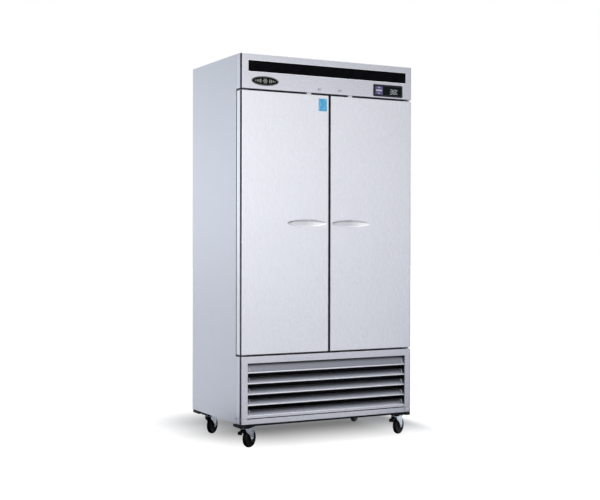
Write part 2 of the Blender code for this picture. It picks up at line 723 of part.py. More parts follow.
def build_machine_compartment():
    build_condenser()
    build_compressor()
    open_top_tray("drain_pan", PAN_LOW, PAN_HIGH, PAN_WALL, "white_plastic")

    inner = SIDE - SHEET - GAP
    low = (-inner, BACK_Y - SHEET, BODY_BOTTOM + 0.001)
    high = (inner, BACK_Y, REAR_GRILLE_TOP)
    rear = add_part("rear_grille", boxes("rear_grille", (low, high)), "aluminium")
    slots = []
    for row in range(REAR_SLOT_COUNT):
        z = REAR_SLOT_FIRST_Z + row * REAR_SLOT_PITCH
        slot_low = (REAR_SLOT_LEFT, BACK_Y - 0.02, z)
        slots.append((slot_low, (REAR_SLOT_RIGHT, BACK_Y + 0.02, z + REAR_SLOT_HEIGHT)))
    cut(rear, "rear_grille_slots", boxes("rear_grille_slots", *slots))
    gland_hole = ((GLAND_X, BACK_Y, GLAND_Z), GLAND_RADIUS + 0.0005, 0.040)
    cut(rear, "gland_hole", cylinders("gland_hole", gland_hole, axis="Y"))

    flange, body, bore = GLAND_FLANGE, GLAND_RADIUS, GLAND_BORE
    behind = -SHEET - 2 * GAP
    profile = [
        (bore, 0.0),
        (body - 0.001, 0.0),
        (body, -0.0005),
        (body, behind),
        (flange, behind),
        (flange, behind - 0.004),
        (body, behind - 0.004),
        (body, -GLAND_LENGTH),
        (bore, -GLAND_LENGTH),
    ]
    gland = turned("power_gland", profile, "black_satin", steps=20)
    gland.rotation_euler = (-math.pi / 2, 0.0, 0.0)
    gland.location = (GLAND_X, BACK_Y - GAP, GLAND_Z)


# ---- Cold room fittings

def build_evaporator():
    low = (-HOUSING_SIDE, HOUSING_FRONT_Y, HOUSING_LOW)
    high = (HOUSING_SIDE, ROOM_BACK_Y - GAP, ROOM_CEILING - GAP)
    cover = add_part("evaporator_cover", shell_mesh("evaporator_cover", low, high), "white_plastic")
    solidify(cover, HOUSING_WALL)
    holes = []
    for side in (-1, 1):
        centre = (side * EVAPORATOR_FAN_X, HOUSING_FRONT_Y, EVAPORATOR_FAN_Z)
        holes.append((centre, EVAPORATOR_FAN_RADIUS + 0.004, 0.030))
        name = "left_evaporator_fan" if side < 0 else "right_evaporator_fan"
        middle = (centre[0], HOUSING_FRONT_Y + EVAPORATOR_FAN_SETBACK, centre[2])
        fan(name, middle, EVAPORATOR_FAN_RADIUS, 0.022, 0.020, math.radians(24))
    cut(cover, "evaporator_fan_holes", cylinders("evaporator_fan_holes", *holes, axis="Y", steps=32))
    coil = boxes("evaporator_coil", (EVAPORATOR_COIL_LOW, EVAPORATOR_COIL_HIGH))
    add_part("evaporator_coil", coil, "aluminium")


def build_shelves():
    width = SHELF_SIDE - SHELF_CENTRE
    shelf_mesh = None
    for level, z in zip(("lower", "middle", "upper"), SHELF_LEVELS):
        for side_name, start in (("left", -SHELF_SIDE), ("right", SHELF_CENTRE)):
            name = f"{side_name}_{level}_shelf"
            if shelf_mesh is None:
                plate = ((0, SHELF_FRONT_Y, -SHELF_THICK), (width, SHELF_BACK_Y, 0))
                shelf = add_part(name, boxes(name, plate), "white_coat")
                rim, bar = 0.012, 0.010
                pitch = (width - 2 * rim + bar) / SHELF_SLOTS
                slots = []
                for index in range(SHELF_SLOTS):
                    x = rim + index * pitch
                    slot_low = (x, SHELF_FRONT_Y + rim, -0.1)
                    slots.append((slot_low, (x + pitch - bar, SHELF_BACK_Y - rim, 0.1)))
                cut(shelf, "shelf_slots", boxes("shelf_slots", *slots))
                shelf_mesh = bake(shelf)
            else:
                shelf = add_part(name, shelf_mesh.copy(), "white_coat")
            shelf.location = (start, 0.0, z)


def build_light():
    low = (-LIGHT_HALF_WIDTH, LIGHT_FRONT_Y, ROOM_CEILING - LIGHT_HEIGHT)
    high = (LIGHT_HALF_WIDTH, LIGHT_BACK_Y, ROOM_CEILING - GAP)
    add_part("interior_light", boxes("interior_light", (low, high)), "white_plastic")


# ---- Hinges and doors

def build_hinge_brackets():
    middle_top = (DOOR_TOP + FASCIA_BOTTOM) / 2
    middle_bottom = (DOOR_BOTTOM + GRILLE_TOP) / 2
    for side_name, side in DOOR_SIDES:
        for level, z, down in (("upper", middle_top, 1), ("lower", middle_bottom, -1)):
            name = f"{side_name}_{level}_hinge"
            back = FRAME_FRONT_Y - GAP
            xs = sorted((side * (HINGE_X + 0.013), side * (HINGE_X - 0.030)))
            tongue = (
                (xs[0], HINGE_Y - 0.011, z - HINGE_PLATE / 2),
                (xs[1], back, z + HINGE_PLATE / 2),
            )
            hinge = add_part(name, boxes(name, tongue), "stainless")
            flange = ((xs[0], back - 0.0022, z - 0.0040), (xs[1], back, z + 0.0040))
            join(hinge, name + "_flange", boxes(name + "_flange", flange))
            pin_middle = z - down * HINGE_PIN_LENGTH / 2
            pin = ((side * HINGE_X, HINGE_Y, pin_middle), HINGE_PIN_RADIUS, HINGE_PIN_LENGTH)
            join(hinge, name + "_pin", cylinders(name + "_pin", pin, steps=16))


def almond(name, centre, half_width, half_height, depth=None, tip=PULL_TIP):
    """An almond outline facing -Y: flat, or dished to a depth."""
    bm = bmesh.new()
    rows = PULL_ROWS if depth else 1
    bmesh.ops.create_grid(bm, x_segments=PULL_STEPS, y_segments=rows, size=1.0)
    for vert in bm.verts:
        u, v = vert.co.x, vert.co.y
        narrowing = 1.0 - u * u
        height = tip + (half_height - tip) * narrowing
        dish = depth * narrowing ** 0.7 * (1.0 - v * v) ** 0.8 if depth else 0.0
        vert.co = (centre[0] + u * half_width, centre[1] + dish, centre[2] + v * height)
    return mesh_from(name, bm)


def pull_cutter(name, centre, margin, depth):
    """A straight prism around a pull's outline, from in front of the door to a depth behind its face."""
    ahead = (centre[0], FRONT_Y - 0.01, centre[2])
    half_width, half_height = PULL_HALF_WIDTH + margin, PULL_HALF_HEIGHT + margin
    cutter = add_cutter(name, almond(name, ahead, half_width, half_height, tip=PULL_TIP + margin))
    solidify(cutter, depth + 0.01)
    return cutter


def build_door(side_name, side):
    outer, inner = side * SIDE, side * CENTRE_GAP / 2
    low_x, high_x = sorted((outer, inner))
    pivot = add_pivot(side_name + "_door_pivot", (side * HINGE_X, HINGE_Y, 0.0))
    pull_x = inner + side * (PULL_EDGE_INSET + PULL_HALF_WIDTH)
    pull_centre = (pull_x, FRONT_Y, PULL_Z)
    hole_height = DOOR_TOP - DOOR_BOTTOM
    hole_middle = (side * HINGE_X, HINGE_Y, (DOOR_TOP + DOOR_BOTTOM) / 2)
    hinge_hole = (hole_middle, HINGE_HOLE_RADIUS, hole_height + 0.1)

    skin_name = side_name + "_door_skin"
    skin_low = (low_x, FRONT_Y, DOOR_BOTTOM)
    radii = (CORNER_RADIUS, DOOR_FREE_RADIUS) if side < 0 else (DOOR_FREE_RADIUS, CORNER_RADIUS)
    skin_mesh = shell_mesh(skin_name, skin_low, (high_x, DOOR_BACK_Y, DOOR_TOP), radii)
    skin = add_part(skin_name, skin_mesh, "stainless")
    solidify(skin, THIN_SHEET)
    combine(skin, pull_cutter(skin_name + "_pull_hole", pull_centre, 0.0013, 0.006), "DIFFERENCE")
    cut(skin, skin_name + "_pin_holes", cylinders(skin_name + "_pin_holes", hinge_hole, steps=16))

    core_name = side_name + "_door_core"
    step = THIN_SHEET + GAP
    bm = bmesh.new()
    core_low = (low_x + step, FRONT_Y + step, DOOR_BOTTOM + step)
    add_box(bm, core_low, (high_x - step, DOOR_BACK_Y, DOOR_TOP - step))
    round_front_corners(bm, FRONT_Y + step, [radius - step for radius in radii])
    core = add_part(core_name, mesh_from(core_name, bm), "liner")
    dyke_xs = sorted((side * (SIDE - DYKE_SIDE_INSET), side * (CENTRE_GAP / 2 + DYKE_FREE_INSET)))
    dyke = (
        (dyke_xs[0], DOOR_BACK_Y - 0.004, DOOR_BOTTOM + DYKE_END_INSET),
        (dyke_xs[1], DYKE_BACK_Y, DOOR_TOP - DYKE_END_INSET),
    )
    join(core, core_name + "_dyke", boxes(core_name + "_dyke", dyke))
    pocket = pull_cutter(core_name + "_pull_pocket", pull_centre, 0.0030, PULL_DEPTH + 0.0030)
    combine(core, pocket, "DIFFERENCE")
    for level, end in (("top", DOOR_TOP), ("bottom", DOOR_BOTTOM)):
        pin_hole = ((side * HINGE_X, HINGE_Y, end), HINGE_HOLE_RADIUS, 0.044)
        cut(core, f"{core_name}_{level}_hole", cylinders(f"{core_name}_{level}_hole", pin_hole, steps=16))

    pull_name = side_name + "_door_pull"
    dish = almond(pull_name, pull_centre, PULL_HALF_WIDTH, PULL_HALF_HEIGHT, depth=PULL_DEPTH)
    pull = add_part(pull_name, dish, "stainless", smooth=True)
    solidify(pull, PULL_WALL)

    gasket_name = side_name + "_door_gasket"
    edge = GASKET_INSET
    ring_low = (low_x + edge, DOOR_BACK_Y + GAP, DOOR_BOTTOM + edge)
    ring_high = (high_x - edge, GASKET_BACK_Y, DOOR_TOP - edge)
    gasket = add_part(gasket_name, boxes(gasket_name, (ring_low, ring_high)), "gasket")
    inside = (
        (ring_low[0] + GASKET_WIDTH, -0.5, ring_low[2] + GASKET_WIDTH),
        (ring_high[0] - GASKET_WIDTH, 0.0, ring_high[2] - GASKET_WIDTH),
    )
    cut(gasket, gasket_name + "_inside", boxes(gasket_name + "_inside", inside))

    for part in (skin, core, pull, gasket):
        hang_on(part, pivot)


# ---- Casters

def fork_mesh():
    """The fork about its swivel axis, trailing towards +X, with its axle."""
    crown = ((-0.024, -FORK_OUTER, CROWN_BOTTOM), (0.046, FORK_OUTER, CROWN_TOP))
    fork = add_part("fork_master", boxes("fork_master", crown), "zinc")
    bm = bmesh.new()
    for side in (-1, 1):
        ys = sorted((side * FORK_INNER, side * FORK_OUTER))
        verts = add_box(bm, (-0.022, ys[0], 0.0480), (0.044, ys[1], 0.1050))
        for vert in verts:
            if vert.co.z < 0.05:
                vert.co.x = CASTER_TRAIL + (0.011 if vert.co.x > 0 else -0.011)
    join(fork, "fork_legs", mesh_from("fork_legs", bm))
    boss_length = 0.0037
    boss_y = (FORK_INNER + FORK_OUTER) / 2
    bosses = [((CASTER_TRAIL, side * boss_y, WHEEL_RADIUS), 0.0125, boss_length) for side in (-1, 1)]
    join(fork, "fork_bosses", cylinders("fork_bosses", *bosses, axis="Y", steps=16))
    axle = ((CASTER_TRAIL, 0.0, WHEEL_RADIUS), AXLE_RADIUS, 2 * FORK_OUTER + 0.0070)
    join(fork, "fork_axle", cylinders("fork_axle", axle, axis="Y", steps=16))
    head_top = PLATE_BOTTOM - GAP
    head_bottom = CROWN_TOP - 0.0005
    head = ((0.0, 0.0, (head_bottom + head_top) / 2), 0.0230, head_top - head_bottom)
    join(fork, "fork_head", cylinders("fork_head", head, steps=20))
    mesh = bake(fork)
    bpy.data.objects.remove(fork, do_unlink=True)
    return mesh


def wheel_mesh():
    """The wheel about Z, with a running clearance on its axle."""
    bore, web, rim = AXLE_RADIUS + 0.0004, 0.008, 0.034
    half = WHEEL_HALF_WIDTH
    upper = [
        (bore, half + 0.0015),
        (0.012, half + 0.0015),
        (0.014, web),
        (rim, web),
        (rim + 0.003, half - 0.001),
        (WHEEL_RADIUS - 0.006, half),
        (WHEEL_RADIUS, half - 0.007),
    ]
    profile = upper + [(radius, -height) for radius, height in reversed(upper)]
    wheel = turned("wheel_master", profile, "wheel", steps=WHEEL_STEPS)
    mesh = bake(wheel)
    bpy.data.objects.remove(wheel, do_unlink=True)
    return mesh


def pedal_mesh():
    """A brake pedal about its pin, reaching away from the wheel."""
    pin = ((0.0, 0.0, 0.0), 0.0035, 2 * FORK_INNER - 0.0010)
    pedal = add_part("pedal_master", cylinders("pedal_master", pin, axis="Y", steps=12), "wheel")
    bm = bmesh.new()
    verts = add_box(bm, (-0.036, -0.0150, -0.0022), (0.001, 0.0150, 0.0022))
    for vert in verts:
        if vert.co.x < -0.03:
            vert.co.z -= 0.006
            vert.co.y *= 0.8
    join(pedal, "pedal_tread", mesh_from("pedal_tread", bm))
    mesh = bake(pedal)
    bpy.data.objects.remove(pedal, do_unlink=True)
    return mesh


def build_casters():
    fork_shape = fork_mesh()
    wheel_shape = wheel_mesh()
    pedal_shape = pedal_mesh()
    for place, x, y, heading in caster_points():
        swivel = Vector((x, y, 0.0))
        turn = Matrix.Rotation(heading, 3, "Z")
        fork = add_part(place + "_caster_fork", fork_shape.copy(), "zinc", smooth=True)
        fork.location = swivel
        fork.rotation_euler = (0.0, 0.0, heading)
        wheel = add_part(place + "_caster_wheel", wheel_shape.copy(), "wheel", smooth=True)
        wheel.location = swivel + turn @ Vector((CASTER_TRAIL, 0.0, WHEEL_RADIUS))
        wheel.rotation_euler = (math.pi / 2, 0.0, heading)
        if place.startswith("front"):
            pedal = add_part(place + "_brake_pedal", pedal_shape.copy(), "wheel", smooth=True)
            pedal.location = swivel + turn @ Vector((PEDAL_REACH, 0.0, PEDAL_Z))
            pedal.rotation_euler = (0.0, 0.0, heading)


build_outer_panels()
build_insulated_body()
build_fascia()
build_controller()
build_locks()
build_grille()
build_base()
build_machine_compartment()
build_evaporator()
build_shelves()
build_light()
build_hinge_brackets()
for door_side, door_sign in DOOR_SIDES:
    build_door(door_side, door_sign)
build_casters()
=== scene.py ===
"""The looks of the two-door reach-in refrigerator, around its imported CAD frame.

Metres, +Z up, front towards -Y. Every piece is made in the frame's own coordinates, at rest.
"""

import json
import math

import bmesh
import bpy
from mathutils import Matrix, Vector


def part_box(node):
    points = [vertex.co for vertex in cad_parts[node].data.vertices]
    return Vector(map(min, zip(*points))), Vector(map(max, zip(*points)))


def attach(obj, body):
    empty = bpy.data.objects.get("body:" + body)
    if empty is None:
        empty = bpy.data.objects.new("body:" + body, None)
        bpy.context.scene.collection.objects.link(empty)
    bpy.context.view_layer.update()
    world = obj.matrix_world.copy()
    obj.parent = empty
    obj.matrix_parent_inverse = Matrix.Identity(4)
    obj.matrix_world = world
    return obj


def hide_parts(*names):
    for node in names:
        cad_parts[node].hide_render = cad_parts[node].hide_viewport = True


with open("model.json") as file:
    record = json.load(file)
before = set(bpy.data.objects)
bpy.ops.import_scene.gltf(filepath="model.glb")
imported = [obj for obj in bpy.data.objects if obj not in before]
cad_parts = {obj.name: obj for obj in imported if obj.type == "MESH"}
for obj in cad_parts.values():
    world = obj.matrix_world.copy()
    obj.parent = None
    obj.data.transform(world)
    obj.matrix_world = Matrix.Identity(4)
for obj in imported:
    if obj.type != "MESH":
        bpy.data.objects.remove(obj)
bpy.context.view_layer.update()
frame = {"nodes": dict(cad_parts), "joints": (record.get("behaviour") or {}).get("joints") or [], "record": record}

RECORD = frame["record"]
BODY_OF = {node: body for body, nodes in RECORD["behaviour"]["bodies"].items() for node in nodes}
SLOT_OF = {part["node"]: part["material_slot"] for part in RECORD["subparts"]}
JOINT_AT = {joint["name"]: Vector(joint["pos_m"]) for joint in frame["joints"] if "pos_m" in joint}

UP, DOWN = (0, 0, 1), (0, 0, -1)
FORWARD, BACKWARD = (0, -1, 0), (0, 1, 0)
SIDES = (-1, 1)


# ---- Places read from the frame

def span(node):
    """The lowest and highest corners of a CAD node."""
    low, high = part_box(node)
    return Vector(low), Vector(high)


LEFT_X = span("left_side_panel")[0].x
RIGHT_X = span("right_side_panel")[1].x
FRONT_Y = span("fascia_panel")[0].y
TOP_Z = span("top_panel")[1].z

# A front's corner radius, a sheet's thickness, a folded flange's depth, and the gap left round a fitting.
CORNER = 0.012
SHEET = 0.0012
FLANGE = 0.020
GAP = 0.0003


# ---- Camera, light and floor

def make_camera():
    """A long lens from the left front, level with the middle of the doors."""
    camera = bpy.data.objects.new("camera", bpy.data.cameras.new("camera"))
    bpy.context.scene.collection.objects.link(camera)
    camera.data.sensor_width = 36.0
    camera.data.lens = 70.91
    camera.data.shift_x = -0.180
    camera.data.clip_end = 100.0
    yaw, pitch, roll = 0.5311, -0.0069, 0.0028
    ahead = Vector((math.sin(yaw) * math.cos(pitch), math.cos(yaw) * math.cos(pitch), math.sin(pitch)))
    camera.rotation_mode = "QUATERNION"
    turn = ahead.to_track_quat("-Z", "Y")
    camera.rotation_quaternion = turn @ Matrix.Rotation(roll, 3, "Z").to_quaternion()
    camera.location = (-2.8986, FRONT_Y - 5.7817, 1.1014)
    bpy.context.scene.camera = camera


# The floor reaches this far, and its shadow fades from dark to white over the fade's width.
FLOOR_REACH = 40.0
FLOOR_FADE = 0.84
FLOOR_DARK = 0.15
# The shadow fades outward from each of these: an axis, where it starts, and how fast it fades there.
SHADOW_EDGES = [("X", 0.70, 4.4), ("X", -0.12, -1.25), ("Y", 0.60, 1.1), ("Y", 0.34, -1.0)]
# Azimuths are in degrees from the front, positive to the right of someone facing the doors.
PANORAMA = [
    (-180, (1.20, 1.25, 1.34)),
    (-156, (1.34, 1.39, 1.48)),
    (-144, (0.90, 0.94, 1.02)),
    (-132, (0.06, 0.06, 0.09)),
    (-30, (0.05, 0.05, 0.08)),
    (-16, (1.40, 1.42, 1.45)),
    (6, (2.10, 2.12, 2.15)),
    (20, (1.79, 1.80, 1.84)),
    (30, (0.93, 0.94, 1.00)),
    (44, (0.56, 0.57, 0.63)),
    (60, (0.50, 0.51, 0.57)),
    (74, (1.60, 1.61, 1.65)),
    (88, (1.66, 1.67, 1.71)),
    (104, (0.46, 0.47, 0.52)),
    (140, (0.80, 0.83, 0.89)),
    (180, (1.20, 1.25, 1.34)),
]
GROUND_BY_AZIMUTH = [
    (-180, (0.80, 0.80, 0.82)),
    (-126, (0.80, 0.80, 0.82)),
    (-112, (0.05, 0.05, 0.06)),
    (-40, (0.05, 0.05, 0.06)),
    (-24, (0.74, 0.74, 0.76)),
    (32, (0.74, 0.74, 0.76)),
    (44, (0.30, 0.30, 0.33)),
    (62, (0.30, 0.30, 0.33)),
    (74, (0.74, 0.74, 0.76)),
    (180, (0.80, 0.80, 0.82)),
]
# Grey factors from straight below, at 0, to straight above, at 1.
SKY_BY_HEIGHT = [
    (0.0, 0.60),
    (0.46, 0.80),
    (0.50, 1.0),
    (0.53, 1.06),
    (0.57, 0.79),
    (0.62, 0.52),
    (0.72, 0.55),
    (0.85, 1.30),
    (1.0, 2.40),
]


def add_math(nodes, links, operation, *values):
    node = nodes.new("ShaderNodeMath")
    node.operation = operation
    for socket, value in zip(node.inputs, values):
        if isinstance(value, (int, float)):
            socket.default_value = value
        else:
            links.new(value, socket)
    return node.outputs[0]


def add_ramp(nodes, links, factor, stops):
    node = nodes.new("ShaderNodeValToRGB")
    elements = node.color_ramp.elements
    elements.remove(elements[-1])
    for index, (position, color) in enumerate(stops):
        element = elements[0] if index == 0 else elements.new(position)
        element.position = position
        element.color = (*color, 1.0)
    links.new(factor, node.inputs[0])
    return node.outputs[0]


def split_place(nodes, links, kind):
    split = nodes.new("ShaderNodeSeparateXYZ")
    links.new(nodes.new("ShaderNodeTexCoord").outputs[kind], split.inputs[0])
    return split.outputs


def by_azimuth(nodes, links, place, stops):
    """A colour for each direction in plan, from stops in degrees."""
    ahead = add_math(nodes, links, "MULTIPLY", place["Y"], -1.0)
    turn = add_math(nodes, links, "ARCTAN2", place["X"], ahead)
    around = add_math(nodes, links, "MULTIPLY_ADD", turn, 1.0 / math.tau, 0.5)
    return add_ramp(nodes, links, around, [(azimuth / 360.0 + 0.5, color) for azimuth, color in stops])


def page_or_light(nodes, links, light, page, surface):
    """Shows the page to the camera, and the other shader to everything that it lights."""
    blend = nodes.new("ShaderNodeMixShader")
    links.new(nodes.new("ShaderNodeLightPath").outputs["Is Camera Ray"], blend.inputs[0])
    links.new(light.outputs[0], blend.inputs[1])
    links.new(page.outputs[0], blend.inputs[2])
    links.new(blend.outputs[0], surface)


def make_studio():
    """A studio sky: bright screens in front and at the right, dim stretches between, dark at the left."""
    world = bpy.data.worlds.new("studio")
    bpy.context.scene.world = world
    world.use_nodes = True
    nodes, links = world.node_tree.nodes, world.node_tree.links
    nodes.clear()
    place = split_place(nodes, links, "Generated")
    height = add_math(nodes, links, "MULTIPLY_ADD", place["Z"], 0.5, 0.5)
    tint = nodes.new("ShaderNodeMix")
    tint.data_type = "RGBA"
    tint.blend_type = "MULTIPLY"
    tint.inputs["Factor"].default_value = 1.0
    links.new(by_azimuth(nodes, links, place, PANORAMA), tint.inputs[6])
    greys = [(at, (grey, grey, grey)) for at, grey in SKY_BY_HEIGHT]
    links.new(add_ramp(nodes, links, height, greys), tint.inputs[7])
    studio = nodes.new("ShaderNodeBackground")
    links.new(tint.outputs[2], studio.inputs["Color"])
    page = nodes.new("ShaderNodeBackground")
    page.inputs["Color"].default_value = (1.0, 1.0, 1.0, 1.0)
    out = nodes.new("ShaderNodeOutputWorld")
    page_or_light(nodes, links, studio, page, out.inputs["Surface"])
    bpy.context.scene.view_settings.view_transform = "Standard"


def make_floor():
    """A white page with a soft shadow round the footprint, and a coloured ground to what it lights."""
    mesh = bpy.data.meshes.new("floor")
    bm = bmesh.new()
    bmesh.ops.create_grid(bm, x_segments=1, y_segments=1, size=FLOOR_REACH)
    bm.to_mesh(mesh)
    bm.free()
    floor = bpy.data.objects.new("floor", mesh)
    bpy.context.scene.collection.objects.link(floor)
    material = bpy.data.materials.new("floor")
    material.use_nodes = True
    nodes, links = material.node_tree.nodes, material.node_tree.links
    page = nodes["Principled BSDF"]
    page.inputs["Base Color"].default_value = (0.13, 0.13, 0.132, 1.0)
    page.inputs["Roughness"].default_value = 0.8
    page.inputs["Specular IOR Level"].default_value = 0.0
    page.inputs["Emission Color"].default_value = (1.0, 1.0, 1.0, 1.0)
    place = split_place(nodes, links, "Object")
    total = 0.0
    for axis, start, rate in SHADOW_EDGES:
        beyond = add_math(nodes, links, "MULTIPLY_ADD", place[axis], rate, -start * rate)
        beyond = add_math(nodes, links, "MAXIMUM", beyond, 0.0)
        total = add_math(nodes, links, "ADD", total, add_math(nodes, links, "POWER", beyond, 2.0))
    fade = nodes.new("ShaderNodeMapRange")
    fade.interpolation_type = "SMOOTHSTEP"
    fade.inputs["From Max"].default_value = FLOOR_FADE
    fade.inputs["To Min"].default_value = FLOOR_DARK
    fade.inputs["To Max"].default_value = 1.0
    links.new(add_math(nodes, links, "SQRT", total), fade.inputs["Value"])
    links.new(fade.outputs["Result"], page.inputs["Emission Strength"])
    ground = nodes.new("ShaderNodeBsdfDiffuse")
    links.new(by_azimuth(nodes, links, place, GROUND_BY_AZIMUTH), ground.inputs["Color"])
    page_or_light(nodes, links, ground, page, nodes["Material Output"].inputs["Surface"])
    mesh.materials.append(material)


# ---- Materials

class Recipe:
    """A Principled material, with short calls for the nodes that vary it."""

    def __init__(self, name, color, roughness, metallic=0.0):
        self.material = bpy.data.materials.new(name)
        self.material.use_nodes = True
        self.nodes = self.material.node_tree.nodes
        self.links = self.material.node_tree.links
        self.shader = self.nodes["Principled BSDF"]
        self.base = (*color, 1.0)
        self.shader.inputs["Base Color"].default_value = self.base
        self.shader.inputs["Roughness"].default_value = roughness
        self.shader.inputs["Metallic"].default_value = metallic
        self.color = None
        self.normal = None
        self.where = self.nodes.new("ShaderNodeTexCoord").outputs["Object"]

    def stretched(self, stretch):
        node = self.nodes.new("ShaderNodeVectorMath")
        node.operation = "MULTIPLY"
        self.links.new(self.where, node.inputs[0])
        node.inputs[1].default_value = stretch
        return node.outputs[0]

    def noise(self, scale, stretch=(1.0, 1.0, 1.0), detail=3.0):
        node = self.nodes.new("ShaderNodeTexNoise")
        node.inputs["Scale"].default_value = scale
        node.inputs["Detail"].default_value = detail
        self.links.new(self.stretched(stretch), node.inputs["Vector"])
        return node.outputs["Fac"]

    def cells(self, scale, output="Distance"):
        node = self.nodes.new("ShaderNodeTexVoronoi")
        node.inputs["Scale"].default_value = scale
        self.links.new(self.where, node.inputs["Vector"])
        return node.outputs[output]

    def worn_edges(self):
        """How far a spot stands out as an edge, broken up by noise."""
        point = self.nodes.new("ShaderNodeNewGeometry").outputs["Pointiness"]
        edge = self.remap(point, 0.52, 0.60, 0.0, 1.0)
        return add_math(self.nodes, self.links, "MULTIPLY", edge, self.noise(120.0, detail=4.0))

    def remap(self, value, from_low, from_high, to_low, to_high):
        node = self.nodes.new("ShaderNodeMapRange")
        self.links.new(value, node.inputs["Value"])
        for name, number in zip(
            ("From Min", "From Max", "To Min", "To Max"), (from_low, from_high, to_low, to_high)
        ):
            node.inputs[name].default_value = number
        return node.outputs["Result"]

    def tint(self, factor, color, amount, low=0.35, high=0.65):
        """Moves the colour towards another where the factor rises from low to high."""
        mix = self.nodes.new("ShaderNodeMix")
        mix.data_type = "RGBA"
        self.links.new(self.remap(factor, low, high, 0.0, amount), mix.inputs["Factor"])
        if self.color:
            self.links.new(self.color, mix.inputs[6])
        else:
            mix.inputs[6].default_value = self.base
        mix.inputs[7].default_value = (*color, 1.0)
        self.color = mix.outputs[2]
        self.links.new(self.color, self.shader.inputs["Base Color"])
        return self

    def roughen(self, factor, smooth, rough, low=0.35, high=0.65):
        self.links.new(self.remap(factor, low, high, smooth, rough), self.shader.inputs["Roughness"])
        return self

    def bump(self, height, distance, strength=1.0):
        node = self.nodes.new("ShaderNodeBump")
        node.inputs["Distance"].default_value = distance
        node.inputs["Strength"].default_value = strength
        self.links.new(height, node.inputs["Height"])
        if self.normal:
            self.links.new(self.normal, node.inputs["Normal"])
        self.normal = node.outputs["Normal"]
        self.links.new(self.normal, self.shader.inputs["Normal"])
        return self

    def set(self, **values):
        for name, value in values.items():
            self.shader.inputs[name.replace("_", " ")].default_value = value
        return self


ALONG_Z = (1.0, 1.0, 0.02)
ALONG_X = (0.02, 1.0, 1.0)


def steel(name, color, roughness, grain, waviness=0.0008):
    """Satin stainless sheet: fine polishing lines, faint smudges and slow unevenness of the sheet."""
    recipe = Recipe(name, color, roughness, metallic=1.0)
    lines = recipe.noise(1100.0, grain, detail=4.0)
    smudges = recipe.noise(5.0, detail=4.0)
    recipe.tint(lines, [0.93 * channel for channel in color], 0.16)
    recipe.tint(smudges, [0.97 * channel for channel in color], 0.5)
    recipe.roughen(lines, roughness - 0.02, roughness + 0.03)
    recipe.bump(recipe.noise(2.2, detail=1.0), waviness, 0.30)
    return recipe.bump(lines, 0.00001, 0.14).material


def bright_metal(name, color, roughness):
    """Plated or polished metal with fine scratches and a little tarnish."""
    recipe = Recipe(name, color, roughness, metallic=1.0)
    tarnish = recipe.noise(90.0, detail=5.0)
    scratches = recipe.noise(700.0, (1.0, 0.06, 0.3), detail=3.0)
    recipe.tint(tarnish, [0.78 * channel for channel in color], 0.5)
    recipe.roughen(tarnish, roughness - 0.04, roughness + 0.10)
    return recipe.bump(scratches, 0.00003, 0.6).material


def galvanised(name, color, roughness):
    recipe = Recipe(name, color, roughness, metallic=0.9)
    spangle = recipe.cells(110.0, output="Color")
    recipe.tint(spangle, [0.84 * channel for channel in color], 0.5, 0.2, 0.9)
    recipe.tint(recipe.noise(4.0, detail=4.0), [0.92 * channel for channel in color], 0.4)
    recipe.roughen(spangle, roughness - 0.04, roughness + 0.06, 0.2, 0.9)
    return recipe.bump(recipe.noise(240.0), 0.00006, 0.5).material


def painted(name, color, roughness, worn, peel=0.00008, gloss=0.5):
    """A coat with slight orange peel, thinner and paler along its edges."""
    recipe = Recipe(name, color, roughness)
    recipe.tint(recipe.noise(14.0, detail=5.0), [1.25 * channel + 0.004 for channel in color], 0.6)
    recipe.tint(recipe.worn_edges(), worn, 0.8, 0.1, 0.7)
    recipe.roughen(recipe.noise(30.0, detail=4.0), roughness - 0.07, roughness + 0.09)
    recipe.bump(recipe.noise(420.0, detail=2.0), peel, 0.6)
    return recipe.set(Specular_IOR_Level=gloss).material


def moulded(name, color, roughness, gloss=0.5, wear=0.03):
    """Moulded plastic with a fine spark-eroded grain."""
    recipe = Recipe(name, color, roughness)
    recipe.tint(recipe.noise(20.0, detail=4.0), [0.90 * channel + 0.004 for channel in color], 0.7)
    recipe.tint(recipe.worn_edges(), [min(1.0, 1.3 * channel + wear) for channel in color], 0.5, 0.1, 0.7)
    recipe.roughen(recipe.noise(60.0, detail=4.0), roughness - 0.06, roughness + 0.08)
    recipe.bump(recipe.cells(1600.0), 0.00006, 0.5)
    return recipe.set(Specular_IOR_Level=gloss).material


def rubber(name, color, roughness, dust, gloss=0.3):
    recipe = Recipe(name, color, roughness)
    recipe.tint(recipe.noise(35.0, detail=6.0), dust, 0.35, 0.45, 0.75)
    recipe.tint(recipe.worn_edges(), dust, 0.5, 0.1, 0.6)
    recipe.roughen(recipe.noise(80.0, detail=4.0), roughness - 0.08, roughness + 0.12)
    recipe.bump(recipe.noise(900.0, detail=4.0), 0.00010, 0.7)
    return recipe.set(Specular_IOR_Level=gloss).material


def enamel(name, color, roughness, gloss=0.01):
    recipe = Recipe(name, color, roughness)
    recipe.tint(recipe.noise(40.0, detail=4.0), [channel + 0.003 for channel in color], 0.8)
    recipe.roughen(recipe.noise(25.0, detail=5.0), roughness, roughness + 0.08)
    recipe.bump(recipe.noise(160.0, detail=1.0), 0.00003, 0.4)
    return recipe.set(Specular_IOR_Level=gloss).material


def foam(name, color):
    recipe = Recipe(name, color, 0.9)
    recipe.tint(recipe.cells(500.0), [0.8 * channel for channel in color], 0.6, 0.0, 0.6)
    return recipe.bump(recipe.cells(500.0), 0.0004).material


def frosted(name, color):
    recipe = Recipe(name, color, 0.45)
    recipe.tint(recipe.noise(15.0), [0.93 * channel for channel in color], 0.6)
    recipe.bump(recipe.cells(1200.0), 0.00008, 0.6)
    return recipe.set(Emission_Color=(0.95, 0.98, 1.0, 1.0), Emission_Strength=0.15).material


